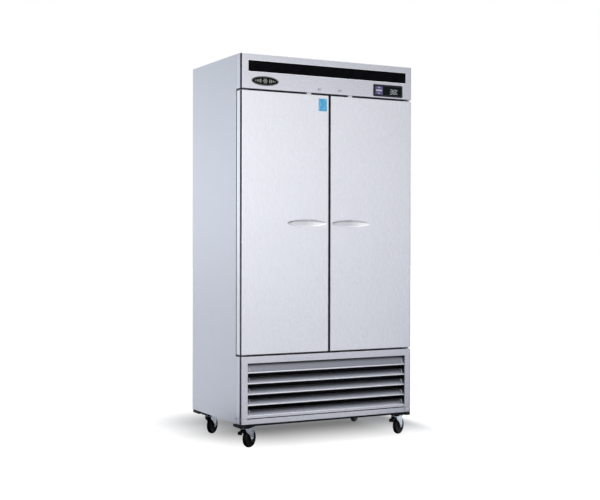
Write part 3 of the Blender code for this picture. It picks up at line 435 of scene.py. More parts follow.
def lit_segment(name, color):
    recipe = Recipe(name, color, 0.4)
    recipe.tint(recipe.noise(400.0), [0.7 * channel for channel in color], 0.8)
    recipe.roughen(recipe.noise(300.0), 0.3, 0.5)
    recipe.bump(recipe.noise(900.0), 0.00002)
    return recipe.set(Emission_Color=(*color, 1.0), Emission_Strength=0.50).material


def printed_label(name):
    """A coated paper label in mottled blue."""
    recipe = Recipe(name, (0.07, 0.46, 0.77), 0.35)
    recipe.tint(recipe.noise(110.0, (1.0, 1.0, 0.6), detail=3.0), (0.30, 0.70, 0.90), 0.7, 0.50, 0.68)
    recipe.tint(recipe.noise(60.0, detail=2.0), (0.04, 0.36, 0.66), 0.6, 0.5, 0.7)
    recipe.roughen(recipe.noise(50.0), 0.3, 0.45)
    return recipe.bump(recipe.noise(45.0, detail=2.0), 0.0002, 0.4).material


FINISH = {}


def add_finish(make, name, *values, **options):
    """Makes a material and keeps it under its name."""
    FINISH[name] = make(name, *values, **options)


STEEL = (0.735, 0.74, 0.765)
add_finish(steel, "outer_steel", STEEL, 0.28, ALONG_Z)
add_finish(steel, "side_steel", (0.615, 0.632, 0.668), 0.34, ALONG_Z)
add_finish(steel, "band_steel", (0.60, 0.605, 0.64), 0.27, ALONG_X, waviness=0.0003)
# A darker copy of the grille's steel: painted shade on the louvre blades and on the opening's cheeks.
add_finish(steel, "louvre_shade_steel", (0.27, 0.28, 0.31), 0.38, ALONG_X)
add_finish(galvanised, "back_sheet", (0.60, 0.62, 0.64), 0.42)
add_finish(foam, "foam", (0.86, 0.80, 0.62))
add_finish(steel, "liner_steel", (0.70, 0.71, 0.73), 0.34, ALONG_X)
add_finish(steel, "bright_liner", (0.78, 0.79, 0.81), 0.26, ALONG_Z)
add_finish(moulded, "frame_plastic", (0.060, 0.060, 0.066), 0.5)
add_finish(rubber, "gasket_rubber", (0.030, 0.030, 0.034), 0.6, (0.10, 0.10, 0.10))
add_finish(steel, "pull_steel", (0.84, 0.845, 0.86), 0.26, ALONG_X)
add_finish(enamel, "strip_black", (0.003, 0.003, 0.004), 0.14)
add_finish(enamel, "badge_enamel", (0.005, 0.007, 0.006), 0.18)
add_finish(moulded, "controller_plastic", (0.005, 0.005, 0.006), 0.5, gloss=0.08, wear=0.004)
add_finish(enamel, "display_lens", (0.005, 0.007, 0.010), 0.14, gloss=0.05)
add_finish(moulded, "key_plastic", (0.108, 0.101, 0.245), 0.40)
add_finish(bright_metal, "lock_chrome", (0.66, 0.66, 0.68), 0.20)
# Darkened steel: painted shade for the hinge brackets, which sit in the gaps above and below the doors.
add_finish(bright_metal, "hinge_steel", (0.30, 0.31, 0.33), 0.42)
add_finish(painted, "base_paint", (0.005, 0.005, 0.006), 0.50, (0.03, 0.03, 0.032), gloss=0.10)
add_finish(bright_metal, "coil_aluminium", (0.66, 0.68, 0.70), 0.38)
# Near-black paint on the condenser's fins, plates and tubes, over aluminium and copper: painted shade behind the
# louvres.
add_finish(painted, "coil_shade_black", (0.020, 0.021, 0.023), 0.55, (0.08, 0.08, 0.08), gloss=0.25)
add_finish(bright_metal, "copper", (0.72, 0.36, 0.20), 0.28)
add_finish(painted, "compressor_paint", (0.010, 0.010, 0.011), 0.30, (0.10, 0.10, 0.10))
add_finish(moulded, "fan_plastic", (0.014, 0.014, 0.016), 0.42)
add_finish(moulded, "pan_plastic", (0.76, 0.77, 0.78), 0.42)
add_finish(moulded, "gland_plastic", (0.016, 0.016, 0.017), 0.45)
# Pale plastic; on the louvres' steel gussets it is a painted highlight.
add_finish(moulded, "housing_plastic", (0.80, 0.81, 0.82), 0.40)
add_finish(frosted, "light_diffuser", (0.88, 0.90, 0.92))
add_finish(painted, "shelf_coat", (0.80, 0.81, 0.81), 0.32, (0.60, 0.60, 0.58), 0.00005)
add_finish(bright_metal, "caster_zinc", (0.66, 0.71, 0.76), 0.22)
add_finish(rubber, "wheel_rubber", (0.005, 0.005, 0.006), 0.45, (0.04, 0.038, 0.036), gloss=0.2)
add_finish(moulded, "pedal_plastic", (0.008, 0.008, 0.009), 0.45, gloss=0.25)
add_finish(printed_label, "label")
add_finish(lit_segment, "segment", (0.62, 0.70, 0.66))
add_finish(painted, "badge_motif", (0.36, 0.38, 0.33), 0.45, (0.46, 0.48, 0.42), 0.00002)
add_finish(painted, "print", (0.60, 0.60, 0.72), 0.5, (0.70, 0.70, 0.80), 0.00002)
add_finish(painted, "faint_print", (0.13, 0.13, 0.18), 0.5, (0.16, 0.16, 0.20), 0.00002)
# Near-black paint for the grille's dark seam, and painted shade on the baffles beside the condenser.
add_finish(painted, "dark_inside", (0.004, 0.004, 0.005), 0.7, (0.02, 0.02, 0.02), gloss=0.1)


# ---- Mesh helpers

PLANES = {
    "x": lambda across, up, depth: Vector((depth, across, up)),
    "y": lambda across, up, depth: Vector((across, depth, up)),
    "z": lambda across, up, depth: Vector((across, up, depth)),
}


def new_piece(name, bm, node, finish=None, replace=True, soft=0.0, sheet=0.0, angle=35.0, even=True):
    """Makes a piece that rides with a CAD node and, unless told otherwise, stands for it."""
    mesh = bpy.data.meshes.new(name)
    bm.to_mesh(mesh)
    bm.free()
    piece = bpy.data.objects.new(name, mesh)
    bpy.context.scene.collection.objects.link(piece)
    mesh.materials.append(FINISH[finish or SLOT_OF[node]])
    mesh.shade_smooth()
    mesh.set_sharp_from_angle(angle=math.radians(angle))
    if sheet:
        solid = piece.modifiers.new("Sheet", "SOLIDIFY")
        solid.thickness = sheet
        solid.offset = -1.0
        solid.use_even_offset = even
    if soft:
        bevel = piece.modifiers.new("Soft edges", "BEVEL")
        bevel.width = soft
        bevel.segments = 2
        bevel.angle_limit = math.radians(angle)
    weighted = piece.modifiers.new("Flat faces", "WEIGHTED_NORMAL")
    weighted.keep_sharp = not soft
    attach(piece, BODY_OF[node])
    if replace:
        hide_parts(node)
    return piece


def rounded(low, high, radius, steps):
    """A rectangle's outline with round corners, anticlockwise from its lower left."""
    points = []
    quarters = (
        (low[0] + radius, low[1] + radius, 180),
        (high[0] - radius, low[1] + radius, 270),
        (high[0] - radius, high[1] - radius, 0),
        (low[0] + radius, high[1] - radius, 90),
    )
    for x, z, start in quarters:
        for step in range(steps + 1):
            angle = math.radians(start + 90 * step / steps)
            points.append((x + radius * math.cos(angle), z + radius * math.sin(angle)))
    return points


def inset_rounded(low, high, radius, inset, steps):
    inner_low = (low[0] + inset, low[1] + inset)
    inner_high = (high[0] - inset, high[1] - inset)
    return rounded(inner_low, inner_high, max(radius - inset, 0.0002), steps)


def stepped(low, high, radius, section, steps=4):
    """Loops of one round-cornered rectangle, from pairs of an inset and a depth."""
    return [(inset_rounded(low, high, radius, inset, steps), depth) for inset, depth in section]


def turns(steps):
    """Angles evenly round a circle."""
    return [math.tau * step / steps for step in range(steps)]


def ellipse(centre, half_width, half_height):
    return [(centre[0] + half_width * math.cos(a), centre[1] + half_height * math.sin(a)) for a in turns(48)]


def skin(bm, rows, ring=False, closed=False):
    """Quads between neighbouring rows; closed joins each row's ends, ring the last row to the first."""
    pairs = list(zip(rows, rows[1:]))
    if ring:
        pairs.append((rows[-1], rows[0]))
    faces = []
    for row, following in pairs:
        for index in range(len(row) - (0 if closed else 1)):
            after = (index + 1) % len(row)
            faces.append(bm.faces.new((row[index], row[after], following[after], following[index])))
    return faces


def loft(bm, loops, axis="y", ring=False, place=None, caps=(True, True)):
    """Skins a row of outlines, each given with its depth along the axis."""
    rows = []
    for outline, depth in loops:
        points = [PLANES[axis](across, up, depth) for across, up in outline]
        rows.append([bm.verts.new(place @ point if place else point) for point in points])
    faces = skin(bm, rows, ring, closed=True)
    if not ring:
        faces += [bm.faces.new(row) for row, wanted in zip((rows[0], rows[-1]), caps) if wanted]
    bmesh.ops.recalc_face_normals(bm, faces=faces)


def slab(bm, low, high, radius, soft, axis="y", place=None, steps=4):
    """A plate with round corners across the axis and soft edges at both of its faces."""
    order = {"x": (1, 2, 0), "y": (0, 2, 1), "z": (0, 1, 2)}[axis]
    first = (low[order[0]], low[order[1]])
    last = (high[order[0]], high[order[1]])
    near, far = low[order[2]], high[order[2]]
    loops = []
    for step in range(3):
        angle = math.pi / 4 * step
        outline = inset_rounded(first, last, radius, soft * (1 - math.sin(angle)), steps)
        loops.append((outline, soft * (1 - math.cos(angle))))
    front = [(outline, near + depth) for outline, depth in loops]
    back = [(outline, far - depth) for outline, depth in reversed(loops)]
    loft(bm, front + back, axis, place=place)


def block(bm, centre, half, radius, soft):
    """A slab given by its centre and its half sizes."""
    centre, half = Vector(centre), Vector(half)
    slab(bm, centre - half, centre + half, radius, soft)


def turned(bm, profile, place, steps):
    """A solid turned about the place's Z axis from (radius, height) points."""
    rows = []
    for radius, height in profile:
        angles = turns(steps) if radius > 1e-6 else [0.0]
        points = [Vector((radius * math.cos(a), radius * math.sin(a), height)) for a in angles]
        rows.append([bm.verts.new(place @ point) for point in points])
    pairs = list(zip(rows, rows[1:]))
    if len(rows[0]) > 1:
        pairs.append((rows[-1], rows[0]))
    faces = []
    for row, following in pairs:
        for index in range(steps):
            after = (index + 1) % steps
            corners = [row[index % len(row)], row[after % len(row)]]
            corners += [following[after % len(following)], following[index % len(following)]]
            corners = list(dict.fromkeys(corners))
            if len(corners) > 2:
                faces.append(bm.faces.new(corners))
    bmesh.ops.recalc_face_normals(bm, faces=faces)


def facing(point, direction):
    """A place at a point whose Z axis looks along a direction."""
    turn = Vector(direction).to_track_quat("Z", "Y").to_matrix().to_4x4()
    return Matrix.Translation(point) @ turn


def sweep(bm, points, radius, steps, closed=False):
    """A round wire or pipe along a row of points."""
    points = [Vector(point) for point in points]
    count = len(points)
    rings = []
    side = None
    for index, point in enumerate(points):
        before = points[index - 1] if closed or index else point
        after = points[(index + 1) % count] if closed or index < count - 1 else point
        along = (after - before).normalized()
        if side is None:
            side = along.orthogonal().normalized()
        side = (side - along * side.dot(along)).normalized()
        over = along.cross(side)
        rim = [point + radius * (math.cos(a) * side + math.sin(a) * over) for a in turns(steps)]
        rings.append([bm.verts.new(spot) for spot in rim])
    faces = skin(bm, rings, ring=closed, closed=True)
    if not closed:
        faces += [bm.faces.new(rings[0]), bm.faces.new(rings[-1])]
    bmesh.ops.recalc_face_normals(bm, faces=faces)


def curved(points, per=6):
    """Points along a smooth curve through the given ones."""
    points = [Vector(point) for point in points]
    padded = [2 * points[0] - points[1], *points, 2 * points[-1] - points[-2]]
    path = []
    for p0, p1, p2, p3 in zip(padded, padded[1:], padded[2:], padded[3:]):
        for step in range(per):
            t = step / per
            bend = (2 * p0 - 5 * p1 + 4 * p2 - p3) * t * t + (3 * p1 - p0 - 3 * p2 + p3) * t ** 3
            path.append(0.5 * (2 * p1 + (p2 - p0) * t + bend))
    return path + [points[-1]]


def circle(centre, radius, steps):
    """Points on an upright circle that faces the front."""
    return [Vector(centre) + radius * Vector((math.cos(a), 0.0, math.sin(a))) for a in turns(steps)]


def screw(bm, point, direction, radius):
    """A domed screw head with a cross recess."""
    place = facing(point, direction)
    dome = [(1.0, -0.0002), (1.0, 0.15 * radius), (0.80, 0.42 * radius), (0.56, 0.52 * radius)]
    recess = [(0.55, 0.50 * radius), (0.50, 0.12 * radius)]
    rows = []
    for level, (reach, height) in enumerate(dome + recess):
        row = []
        for angle in turns(16):
            arm = radius * reach
            if level >= len(dome):
                arm *= 0.35 + 0.65 * abs(math.cos(2 * angle)) ** 3
            row.append(bm.verts.new(place @ Vector((arm * math.cos(angle), arm * math.sin(angle), height))))
        rows.append(row)
    faces = [bm.faces.new(rows[-1])] + skin(bm, rows, closed=True)
    bmesh.ops.recalc_face_normals(bm, faces=faces)


def screws(name, node, points, direction, radius, finish_name):
    """A piece made of screw heads that all face one way."""
    bm = bmesh.new()
    for point in points:
        screw(bm, point, direction, radius)
    new_piece(name, bm, node, finish_name, replace=False)


def in_plane(xs, zs, y):
    return [(x, y, z) for x in xs for z in zs]


def cut_away(piece, bm):
    """Takes a closed shape out of a piece at once, and leaves no cutter behind."""
    mesh = bpy.data.meshes.new("cutter")
    bm.to_mesh(mesh)
    bm.free()
    cutter = bpy.data.objects.new("cutter", mesh)
    whole = bpy.data.objects.new("whole", piece.data)
    for spare in (cutter, whole):
        bpy.context.scene.collection.objects.link(spare)
    whole.modifiers.new("Cut", "BOOLEAN").object = cutter
    depsgraph = bpy.context.evaluated_depsgraph_get()
    piece.data = bpy.data.meshes.new_from_object(whole.evaluated_get(depsgraph))
    piece.data.set_sharp_from_angle(angle=math.radians(35))
    for spare in (cutter, whole):
        bpy.data.objects.remove(spare, do_unlink=True)


# ---- Formed sheet fronts

def arc(centre, radius, start, end, steps):
    """Points on an arc with their outward directions, in plan."""
    points = []
    for step in range(steps + 1):
        angle = math.radians(start + (end - start) * step / steps)
        out = (math.cos(angle), math.sin(angle))
        points.append((centre[0] + radius * out[0], centre[1] + radius * out[1], *out))
    return points


def front_profile(low_x, high_x, back_y, left_radius, right_radius, columns):
    """A sheet's path in plan: the left return, the front and the right return, with round corners."""
    left = arc((low_x + left_radius, FRONT_Y + left_radius), left_radius, 180, 270, 8)
    right = arc((high_x - right_radius, FRONT_Y + right_radius), right_radius, 270, 360, 8)
    front = [(x, FRONT_Y, 0.0, -1.0) for x in columns]
    return [(low_x, back_y, -1.0, 0.0), *left, *front, *right, (high_x, back_y, 1.0, 0.0)]


def rim_levels(low_z, high_z, flange, roll, between):
    """Heights with insets: a folded flange and a small roll at each end, and plain rows between."""
    angles = (0.0, 0.52, 1.05, math.pi / 2)
    bend = [(roll * (1 - math.cos(a)), roll * (1 - math.sin(a))) for a in angles]
    low = [(low_z, flange)] + [(low_z + rise, inset) for rise, inset in bend]
    high = [(high_z - rise, inset) for rise, inset in reversed(bend)] + [(high_z, flange)]
    return low + list(between) + high


def formed(bm, profile, levels, holes):
    """An open sheet over a path in plan and a row of heights, without the cells inside the holes."""
    grid = []
    for z, inset in levels:
        row = [bm.verts.new((x - nx * inset, y - ny * inset, z)) for x, y, nx, ny in profile]
        grid.append(row)
    for row, above in zip(grid, grid[1:]):
        for index in range(len(profile) - 1):
            corners = (row[index], row[index + 1], above[index + 1], above[index])
            x = sum(vert.co.x for vert in corners) / 4
            y = sum(vert.co.y for vert in corners) / 4
            z = sum(vert.co.z for vert in corners) / 4
            on_front = y < FRONT_Y + 0.001
            if on_front and any(a < x < b and c < z < d for (a, c), (b, d) in holes):
                continue
            bm.faces.new(corners)
    return grid


def make_lid(name, node):
    """A flat sheet that fills a formed front's top between its folded flanges, screwed at both ends."""
    low, high = span(node)
    seam = FLANGE + GAP
    bm = bmesh.new()
    sheet_low = (low.x + seam, low.y + seam, high.z - SHEET)
    slab(bm, sheet_low, (high.x - seam, high.y, high.z), 0.0012, 0.0002, "z")
    new_piece(name, bm, node, "band_steel", replace=False)
    middle_y = (low.y + seam + high.y) / 2
    points = [(x, middle_y, high.z - 0.0005) for x in (low.x + 0.12, high.x - 0.12)]
    screws(name + "_screws", node, points, UP, 0.0032, "lock_chrome")


# ---- Cabinet panels

def make_sides():
    """Side sheets with a softened outer edge, a hemmed foot and a round upper rear corner."""
    turn, soft = 0.010, 0.0004
    for name, sign in (("left_side_panel", -1), ("right_side_panel", 1)):
        low, high = span(name)
        corner = arc((high.y - turn, high.z - turn), turn, 0, 90, 6)
        outline = [(low.y, low.z), (high.y, low.z)] + [(y, z) for y, z, _, _ in corner] + [(low.y, high.z)]
        outer, inner = (high.x, low.x) if sign > 0 else (low.x, high.x)
        middle_y, middle_z = (low.y + high.y) / 2, (low.z + high.z) / 2
        eased = [
            (y + math.copysign(soft, middle_y - y), z + math.copysign(soft, middle_z - z)) for y, z in outline
        ]
        bm = bmesh.new()
        loft(bm, [(eased, outer), (outline, outer - sign * soft), (outline, inner)], "x")
        hem = sorted((inner - sign * 0.0003, inner - sign * 0.0013))
        hem_low, hem_high = (hem[0], low.y + 0.02, low.z + 0.0004), (hem[1], high.y - 0.02, low.z + 0.018)
        slab(bm, hem_low, hem_high, 0.002, 0.0003, "x")
        new_piece(name.replace("panel", "sheet"), bm, name, "side_steel")


def make_top():
    """The top sheet, rolled down over the back, with screws along its rear edge."""
    low, high = span("top_panel")
    turn, lip = 0.010, 0.0125
    bend = arc((high.y - turn, high.z - turn), turn, 90, 0, 6)
    path = [(low.y, high.z)] + [(y, z) for y, z, _, _ in bend] + [(high.y, high.z - lip)]
    bm = bmesh.new()
    skin(bm, [[bm.verts.new((x, y, z)) for x in (low.x, high.x)] for y, z in path])
    new_piece("top_sheet", bm, "top_panel", "side_steel", sheet=SHEET)
    head = high.z - 0.0005
    rear = [(low.x + 0.06 + step * (high.x - low.x - 0.12) / 6, high.y - 0.030, head) for step in range(7)]
    front = [(x, low.y + 0.03, head) for x in (low.x + 0.03, high.x - 0.03)]
    screws("top_screws", "top_panel", rear + front, UP, 0.0035, "lock_chrome")


def make_back():
    """Galvanised back sheet with three pressed stiffening beads and screws round its edge."""
    low, high = span("back_panel")
    top = TOP_Z - 0.0130
    bm = bmesh.new()
    slab(bm, low, (high.x, high.y, top), 0.002, 0.0004)
    new_piece("back_sheet", bm, "back_panel")
    bm = bmesh.new()
    arch = [math.pi * step / 8 for step in range(9)]
    section = [(0.007 * (1 - math.cos(a)), high.y - 0.0002 + 0.0030 * math.sin(a)) for a in arch]
    for x in (-0.28, 0.0, 0.28):
        bead_low, bead_high = (x - 0.105, low.z + 0.14), (x + 0.105, top - 0.14)
        loft(bm, stepped(bead_low, bead_high, 0.024, section), caps=(False, False))
    new_piece("back_beads", bm, "back_panel", replace=False)
    heights = [low.z + 0.04 + row * (top - low.z - 0.08) / 8 for row in range(9)]
    points = in_plane((low.x + 0.012, high.x - 0.012), heights, high.y)
    points += [(low.x + step * (high.x - low.x) / 8, high.y, top - 0.012) for step in range(1, 8)]
    screws("back_screws", "back_panel", points, BACKWARD, 0.0038, "caster_zinc")


# ---- Fascia and its fittings

def make_fascia():
    """The formed fascia over its lid, and the black strip in a raised rim."""
    low, high = span("fascia_panel")
    strip_low, strip_high = span("fascia_strip")
    bezel_low, bezel_high = span("controller_bezel")
    window = 0.007
    strip_hole = ((strip_low.x - GAP, strip_low.z - GAP), (strip_high.x + GAP, strip_high.z + GAP))
    bezel_foot = (bezel_low.x + window, bezel_low.z + window)
    bezel_hole = (bezel_foot, (bezel_high.x - window, bezel_high.z - window))
    holes = [strip_hole, bezel_hole]
    columns, rows = (sorted(corner[axis] for hole in holes for corner in hole) for axis in (0, 1))
    bm = bmesh.new()
    levels = rim_levels(low.z, high.z, FLANGE, 0.003, [(z, 0.0) for z in rows])
    formed(bm, front_profile(low.x, high.x, high.y, CORNER, CORNER, columns), levels, holes)
    new_piece("fascia_sheet", bm, "fascia_panel", "band_steel", sheet=SHEET, soft=0.0005)
    make_lid("fascia_lid", "fascia_panel")
    bm = bmesh.new()
    slab(bm, strip_low, strip_high, 0.0012, 0.0005)
    new_piece("fascia_strip_gloss", bm, "fascia_strip")
    bm = bmesh.new()
    rim = [(-0.0016, 0.0), (-0.0016, -0.0006), (-0.0002, -0.0010), (0.0006, -0.0004), (0.0006, 0.0010)]
    loft(bm, stepped(*strip_hole, 0.0018, [(inset, FRONT_Y + proud) for inset, proud in rim]), ring=True)
    new_piece("fascia_strip_rim", bm, "fascia_panel", "pull_steel", replace=False)


def make_badge():
    """A domed oval with a pale rim, and a plain snow crystal between two fans of bars."""
    low, high = span("badge_plate")
    centre = (low + high) / 2
    half = (high - low) / 2

    def ovals(section):
        spot = (centre.x, centre.z)
        return [(ellipse(spot, half.x - inset, half.z - inset), high.y - rise) for inset, rise in section]

    bm = bmesh.new()
    loft(bm, ovals([(0.0, 0.0), (0.0, 0.0009), (0.0008, 0.0014), (0.006, 0.0018), (0.014, 0.0020)]))
    new_piece("badge_oval", bm, "badge_plate")
    bm = bmesh.new()
    loft(bm, ovals([(0.0022, 0.0012), (0.0026, 0.0021), (0.0038, 0.0021), (0.0042, 0.0012)]), ring=True)
    front = high.y - 0.0023
    for turn in range(3):
        spin = Matrix.Translation((centre.x, front, centre.z)) @ Matrix.Rotation(turn * math.pi / 3, 4, "Y")
        slab(bm, (-0.0150, 0.0, -0.0011), (0.0150, 0.0008, 0.0011), 0.0009, 0.0002, place=spin)
        for side in SIDES:
            for tilt in (-0.9, 0.9):
                barb = spin @ Matrix.Translation((side * 0.0095, 0, 0)) @ Matrix.Rotation(tilt, 4, "Y")
                slab(bm, (-0.0045, 0.0, -0.0008), (0.0045, 0.0008, 0.0008), 0.0006, 0.0002, place=barb)
    for side in SIDES:
        for reach, height in ((0.026, 0.0105), (0.036, 0.0080), (0.046, 0.0055), (0.056, 0.0030)):
            bar = (centre.x + side * reach, front + 0.0004, centre.z)
            block(bm, bar, (0.0026, 0.0004, height), 0.0018, 0.0002)
    new_piece("badge_motif", bm, "badge_plate", "badge_motif", replace=False)


# A digit's strokes in fractions of its width and height.
STROKES = {
    "top": ((0.15, 1.0), (0.85, 1.0)),
    "upper_left": ((0.0, 0.92), (0.0, 0.58)),
    "upper_right": ((1.0, 0.92), (1.0, 0.58)),
    "middle": ((0.15, 0.5), (0.85, 0.5)),
    "lower_left": ((0.0, 0.42), (0.0, 0.08)),
    "lower_right": ((1.0, 0.42), (1.0, 0.08)),
    "bottom": ((0.15, 0.0), (0.85, 0.0)),
}
DIGITS = {
    "3": ("top", "upper_right", "middle", "lower_right", "bottom"),
    "8": tuple(STROKES),
}
DIGIT_WIDTH = 0.0160
DIGIT_HEIGHT = 0.0250
DIGIT_PITCH = 0.0230


def make_digit(bm, digit, x, y, z):
    """A leaning seven-segment digit from its lower left corner."""
    for name in DIGITS[digit]:
        (u1, v1), (u2, v2) = STROKES[name]
        start = Vector((x + u1 * DIGIT_WIDTH + 0.12 * v1 * DIGIT_HEIGHT, y, z + v1 * DIGIT_HEIGHT))
        end = Vector((x + u2 * DIGIT_WIDTH + 0.12 * v2 * DIGIT_HEIGHT, y, z + v2 * DIGIT_HEIGHT))
        along = end - start
        spin = Matrix.Translation((start + end) / 2) @ Matrix.Rotation(-math.atan2(along.z, along.x), 4, "Y")
        half = along.length / 2
        slab(bm, (-half, 0.0, -0.0011), (half, 0.0004, 0.0011), 0.0009, 0.0001, place=spin)


KEYS = ("upper_key", "middle_key", "lower_key")


def make_controller():
    """The controller's soft-edged bezel, open round its display and keys."""
    node = "controller_bezel"
    low, high = span(node)
    face_back = FRONT_Y - GAP
    inset = 0.0085
    bm = bmesh.new()
    slab(bm, low, (high.x, face_back, high.z), 0.005, 0.0010)
    core_low = (low.x + inset, face_back - 0.0003, low.z + inset)
    slab(bm, core_low, (high.x - inset, high.y, high.z - inset), 0.002, 0.0006)
    face = new_piece("controller_face", bm, node)
    bm = bmesh.new()
    for fitting in ("controller_display", *KEYS):
        hole_low, hole_high = span(fitting)
        hole_low = (hole_low.x - GAP, low.y - 0.01, hole_low.z - GAP)
        slab(bm, hole_low, (hole_high.x + GAP, low.y + 0.0034, hole_high.z + GAP), 0.0010, 0.0001)
    cut_away(face, bm)


def make_display():
    """A lens with a lit reading."""
    node = "controller_display"
    low, high = span(node)
    bm = bmesh.new()
    slab(bm, low, high, 0.0010, 0.0003)
    new_piece("display_lens_plate", bm, node)
    bm = bmesh.new()
    left, front = low.x + 0.038, low.y - 0.0002
    bottom = (low.z + high.z) / 2 - DIGIT_HEIGHT / 2 - 0.0040
    for index, digit in enumerate("38"):
        make_digit(bm, digit, left + index * DIGIT_PITCH, front, bottom)
    unit_x = left + 0.0465
    sweep(bm, circle((unit_x, front, bottom + DIGIT_HEIGHT - 0.003), 0.0022, 16), 0.0006, 6, closed=True)
    block(bm, (unit_x, front + 0.0002, bottom + 0.003), (0.002, 0.0002, 0.002), 0.0015, 0.0001)
    new_piece("display_reading", bm, node, "segment", replace=False)


def make_outline():
    """A faint printed line just inside the bezel's edge."""
    node = "controller_bezel"
    low, high = span(node)
    line = [(0.0, 0.0), (0.0, 0.00025), (0.0008, 0.00025), (0.0008, 0.0)]
    section = [(inset, low.y + 0.0001 - rise) for inset, rise in line]
    line_low, line_high = (low.x + 0.0068, low.z + 0.0052), (high.x - 0.0062, high.z - 0.0052)
    bm = bmesh.new()
    loft(bm, stepped(line_low, line_high, 0.0022, section), ring=True)
    new_piece("controller_outline", bm, node, "faint_print", replace=False)


def make_keys():
    """Three keys: an arrow up, a bar and an arrow down."""
    for name, up in zip(KEYS, (1, 0, -1)):
        low, high = span(name)
        bm = bmesh.new()
        slab(bm, low, high, 0.0014, 0.0008)
        new_piece(name + "_cap", bm, name)
        centre = (low + high) / 2
        front = low.y - 0.0002
        bm = bmesh.new()
        if up:
            arrow = [(-0.0070, -0.0028), (0.0070, -0.0028), (0.0006, 0.0034), (-0.0006, 0.0034)]
            outline = [(centre.x + x, centre.z + up * z) for x, z in arrow]
            loft(bm, [(outline, front), (outline, front + 0.0004)])
        else:
            block(bm, (centre.x, front + 0.0002, centre.z), (0.0185, 0.0002, 0.0042), 0.0020, 0.0001)
        new_piece(name + "_mark", bm, name, "print", replace=False)


def make_locks():
    """Lock faces with a rim, a plug and a keyway."""
    barrel = 0.0080
    for name in ("left_lock_cylinder", "right_lock_cylinder"):
        low, high = span(name)
        centre = Vector(((low.x + high.x) / 2, low.y, (low.z + high.z) / 2))
        radius = (high.x - low.x) / 2
        depth = high.y - low.y
        face = [
            (0.0, -0.0006),
            (0.52, -0.0006),
            (0.57, -0.0010),
            (0.58, -0.0030),
            (0.74, -0.0030),
            (0.75, -0.0008),
            (0.80, 0.0),
            (0.92, 0.0),
            (0.99, -0.0006),
            (1.0, -0.0013),
            (1.0, -0.0021),
        ]
        profile = [(radius * part, height) for part, height in face]
        profile += [(barrel, -0.0023), (barrel, -depth), (0.0, -depth)]
        bm = bmesh.new()
        turned(bm, profile, facing(centre, FORWARD), 32)
        lock = new_piece(name.replace("cylinder", "face"), bm, name)
        bm = bmesh.new()
        block(bm, centre - Vector((0, 0.0025, 0)), (0.0011, 0.0075, 0.0040), 0.0004, 0.0001)
        cut_away(lock, bm)


# ---- Doors

FREE_EDGE = 0.004
PULL_STEPS = 28
PULL_MARGIN = 0.0009
# The pull's edge rolls in from the door's face: depth, and inset from the outline.
PULL_ROLL = [(0.0, 0.0), (0.0004, 0.0006), (0.0014, 0.0011), (0.0032, 0.0012)]


def pull_outline(node, margin):
    """Half heights of a pull's almond outline, from its left tip to its right, with their places."""
    low, high = span(node)
    half_width = (high.x - low.x) / 2
    half_height = 0.94 * (high.z - low.z) / 2
    tip = 0.0012
    points = []
    for step in range(PULL_STEPS + 1):
        u = -math.cos(math.pi * step / PULL_STEPS)
        fullness = 0.62 if u < 0 else 0.95
        height = tip + (half_height - tip) * (1.0 - u * u) ** fullness
        points.append(((low.x + high.x) / 2 + u * (half_width + margin), height + margin, u))
    return points, (low.z + high.z) / 2


def make_door(side_name):
    """A door's outer skin, with an almond opening whose edge rolls into the pull."""
    skin_node = side_name + "_door_skin"
    low, high = span(skin_node)
    radii = (CORNER, FREE_EDGE) if side_name == "left" else (FREE_EDGE, CORNER)
    outline, pull_z = pull_outline(side_name + "_door_pull", PULL_MARGIN)
    patch_low = (outline[0][0] - 0.004, pull_z - 0.026)
    patch_high = (outline[-1][0] + 0.004, pull_z + 0.026)
    columns = [patch_low[0]] + [x for x, _, _ in outline] + [patch_high[0]]
    levels = rim_levels(low.z, high.z, 0.016, 0.0025, [(patch_low[1], 0.0), (patch_high[1], 0.0)])
    profile = front_profile(low.x, high.x, high.y, *radii, columns)
    bm = bmesh.new()
    grid = formed(bm, profile, levels, [(patch_low, patch_high)])
    start = [x for x, _, _, _ in profile].index(patch_low[0])
    below = [z for z, _ in levels].index(patch_low[1])
    bottom, top = (row[start:start + len(columns)] for row in grid[below:below + 2])
    rims = []
    for depth, inset in PULL_ROLL:
        upper = [bm.verts.new((x, FRONT_Y + depth, pull_z + half - inset)) for x, half, _ in outline]
        lower = [bm.verts.new((x, FRONT_Y + depth, pull_z - half + inset)) for x, half, _ in outline]
        rims.append(upper[::-1] + lower)
    count = PULL_STEPS + 1
    upper, lower = rims[0][:count][::-1], rims[0][count:]
    for index in range(PULL_STEPS):
        bm.faces.new((upper[index], upper[index + 1], top[index + 2], top[index + 1]))
        bm.faces.new((bottom[index + 1], bottom[index + 2], lower[index + 1], lower[index]))
    bm.faces.new((bottom[0], bottom[1], lower[0], upper[0], top[1], top[0]))
    bm.faces.new((bottom[-2], bottom[-1], top[-1], top[-2], upper[-1], lower[-1]))
    skin(bm, rims, closed=True)
    bmesh.ops.recalc_face_normals(bm, faces=bm.faces[:])
    front_face = next(face for face in bm.faces if abs(face.normal.y) > 0.999 and face.calc_area() > 0.05)
    if front_face.normal.y > 0:
        bmesh.ops.reverse_faces(bm, faces=bm.faces[:])
    new_piece(side_name + "_door_sheet", bm, skin_node, "outer_steel", sheet=0.0010, even=False)


PULL_SECTION = [
    (-1.00, 0.0000),
    (-0.97, 0.0012),
    (-0.92, 0.0030),
    (-0.85, 0.0046),
    (-0.70, 0.0058),
    (-0.40, 0.0072),
    (-0.10, 0.0084),
    (0.20, 0.0096),
    (0.45, 0.0106),
    (0.62, 0.0116),
    (0.70, 0.0140),
    (0.76, 0.0190),
    (0.82, 0.0222),
    (0.88, 0.0226),
    (0.94, 0.0216),
    (0.97, 0.0150),
    (0.99, 0.0070),
    (1.00, 0.0000),
]


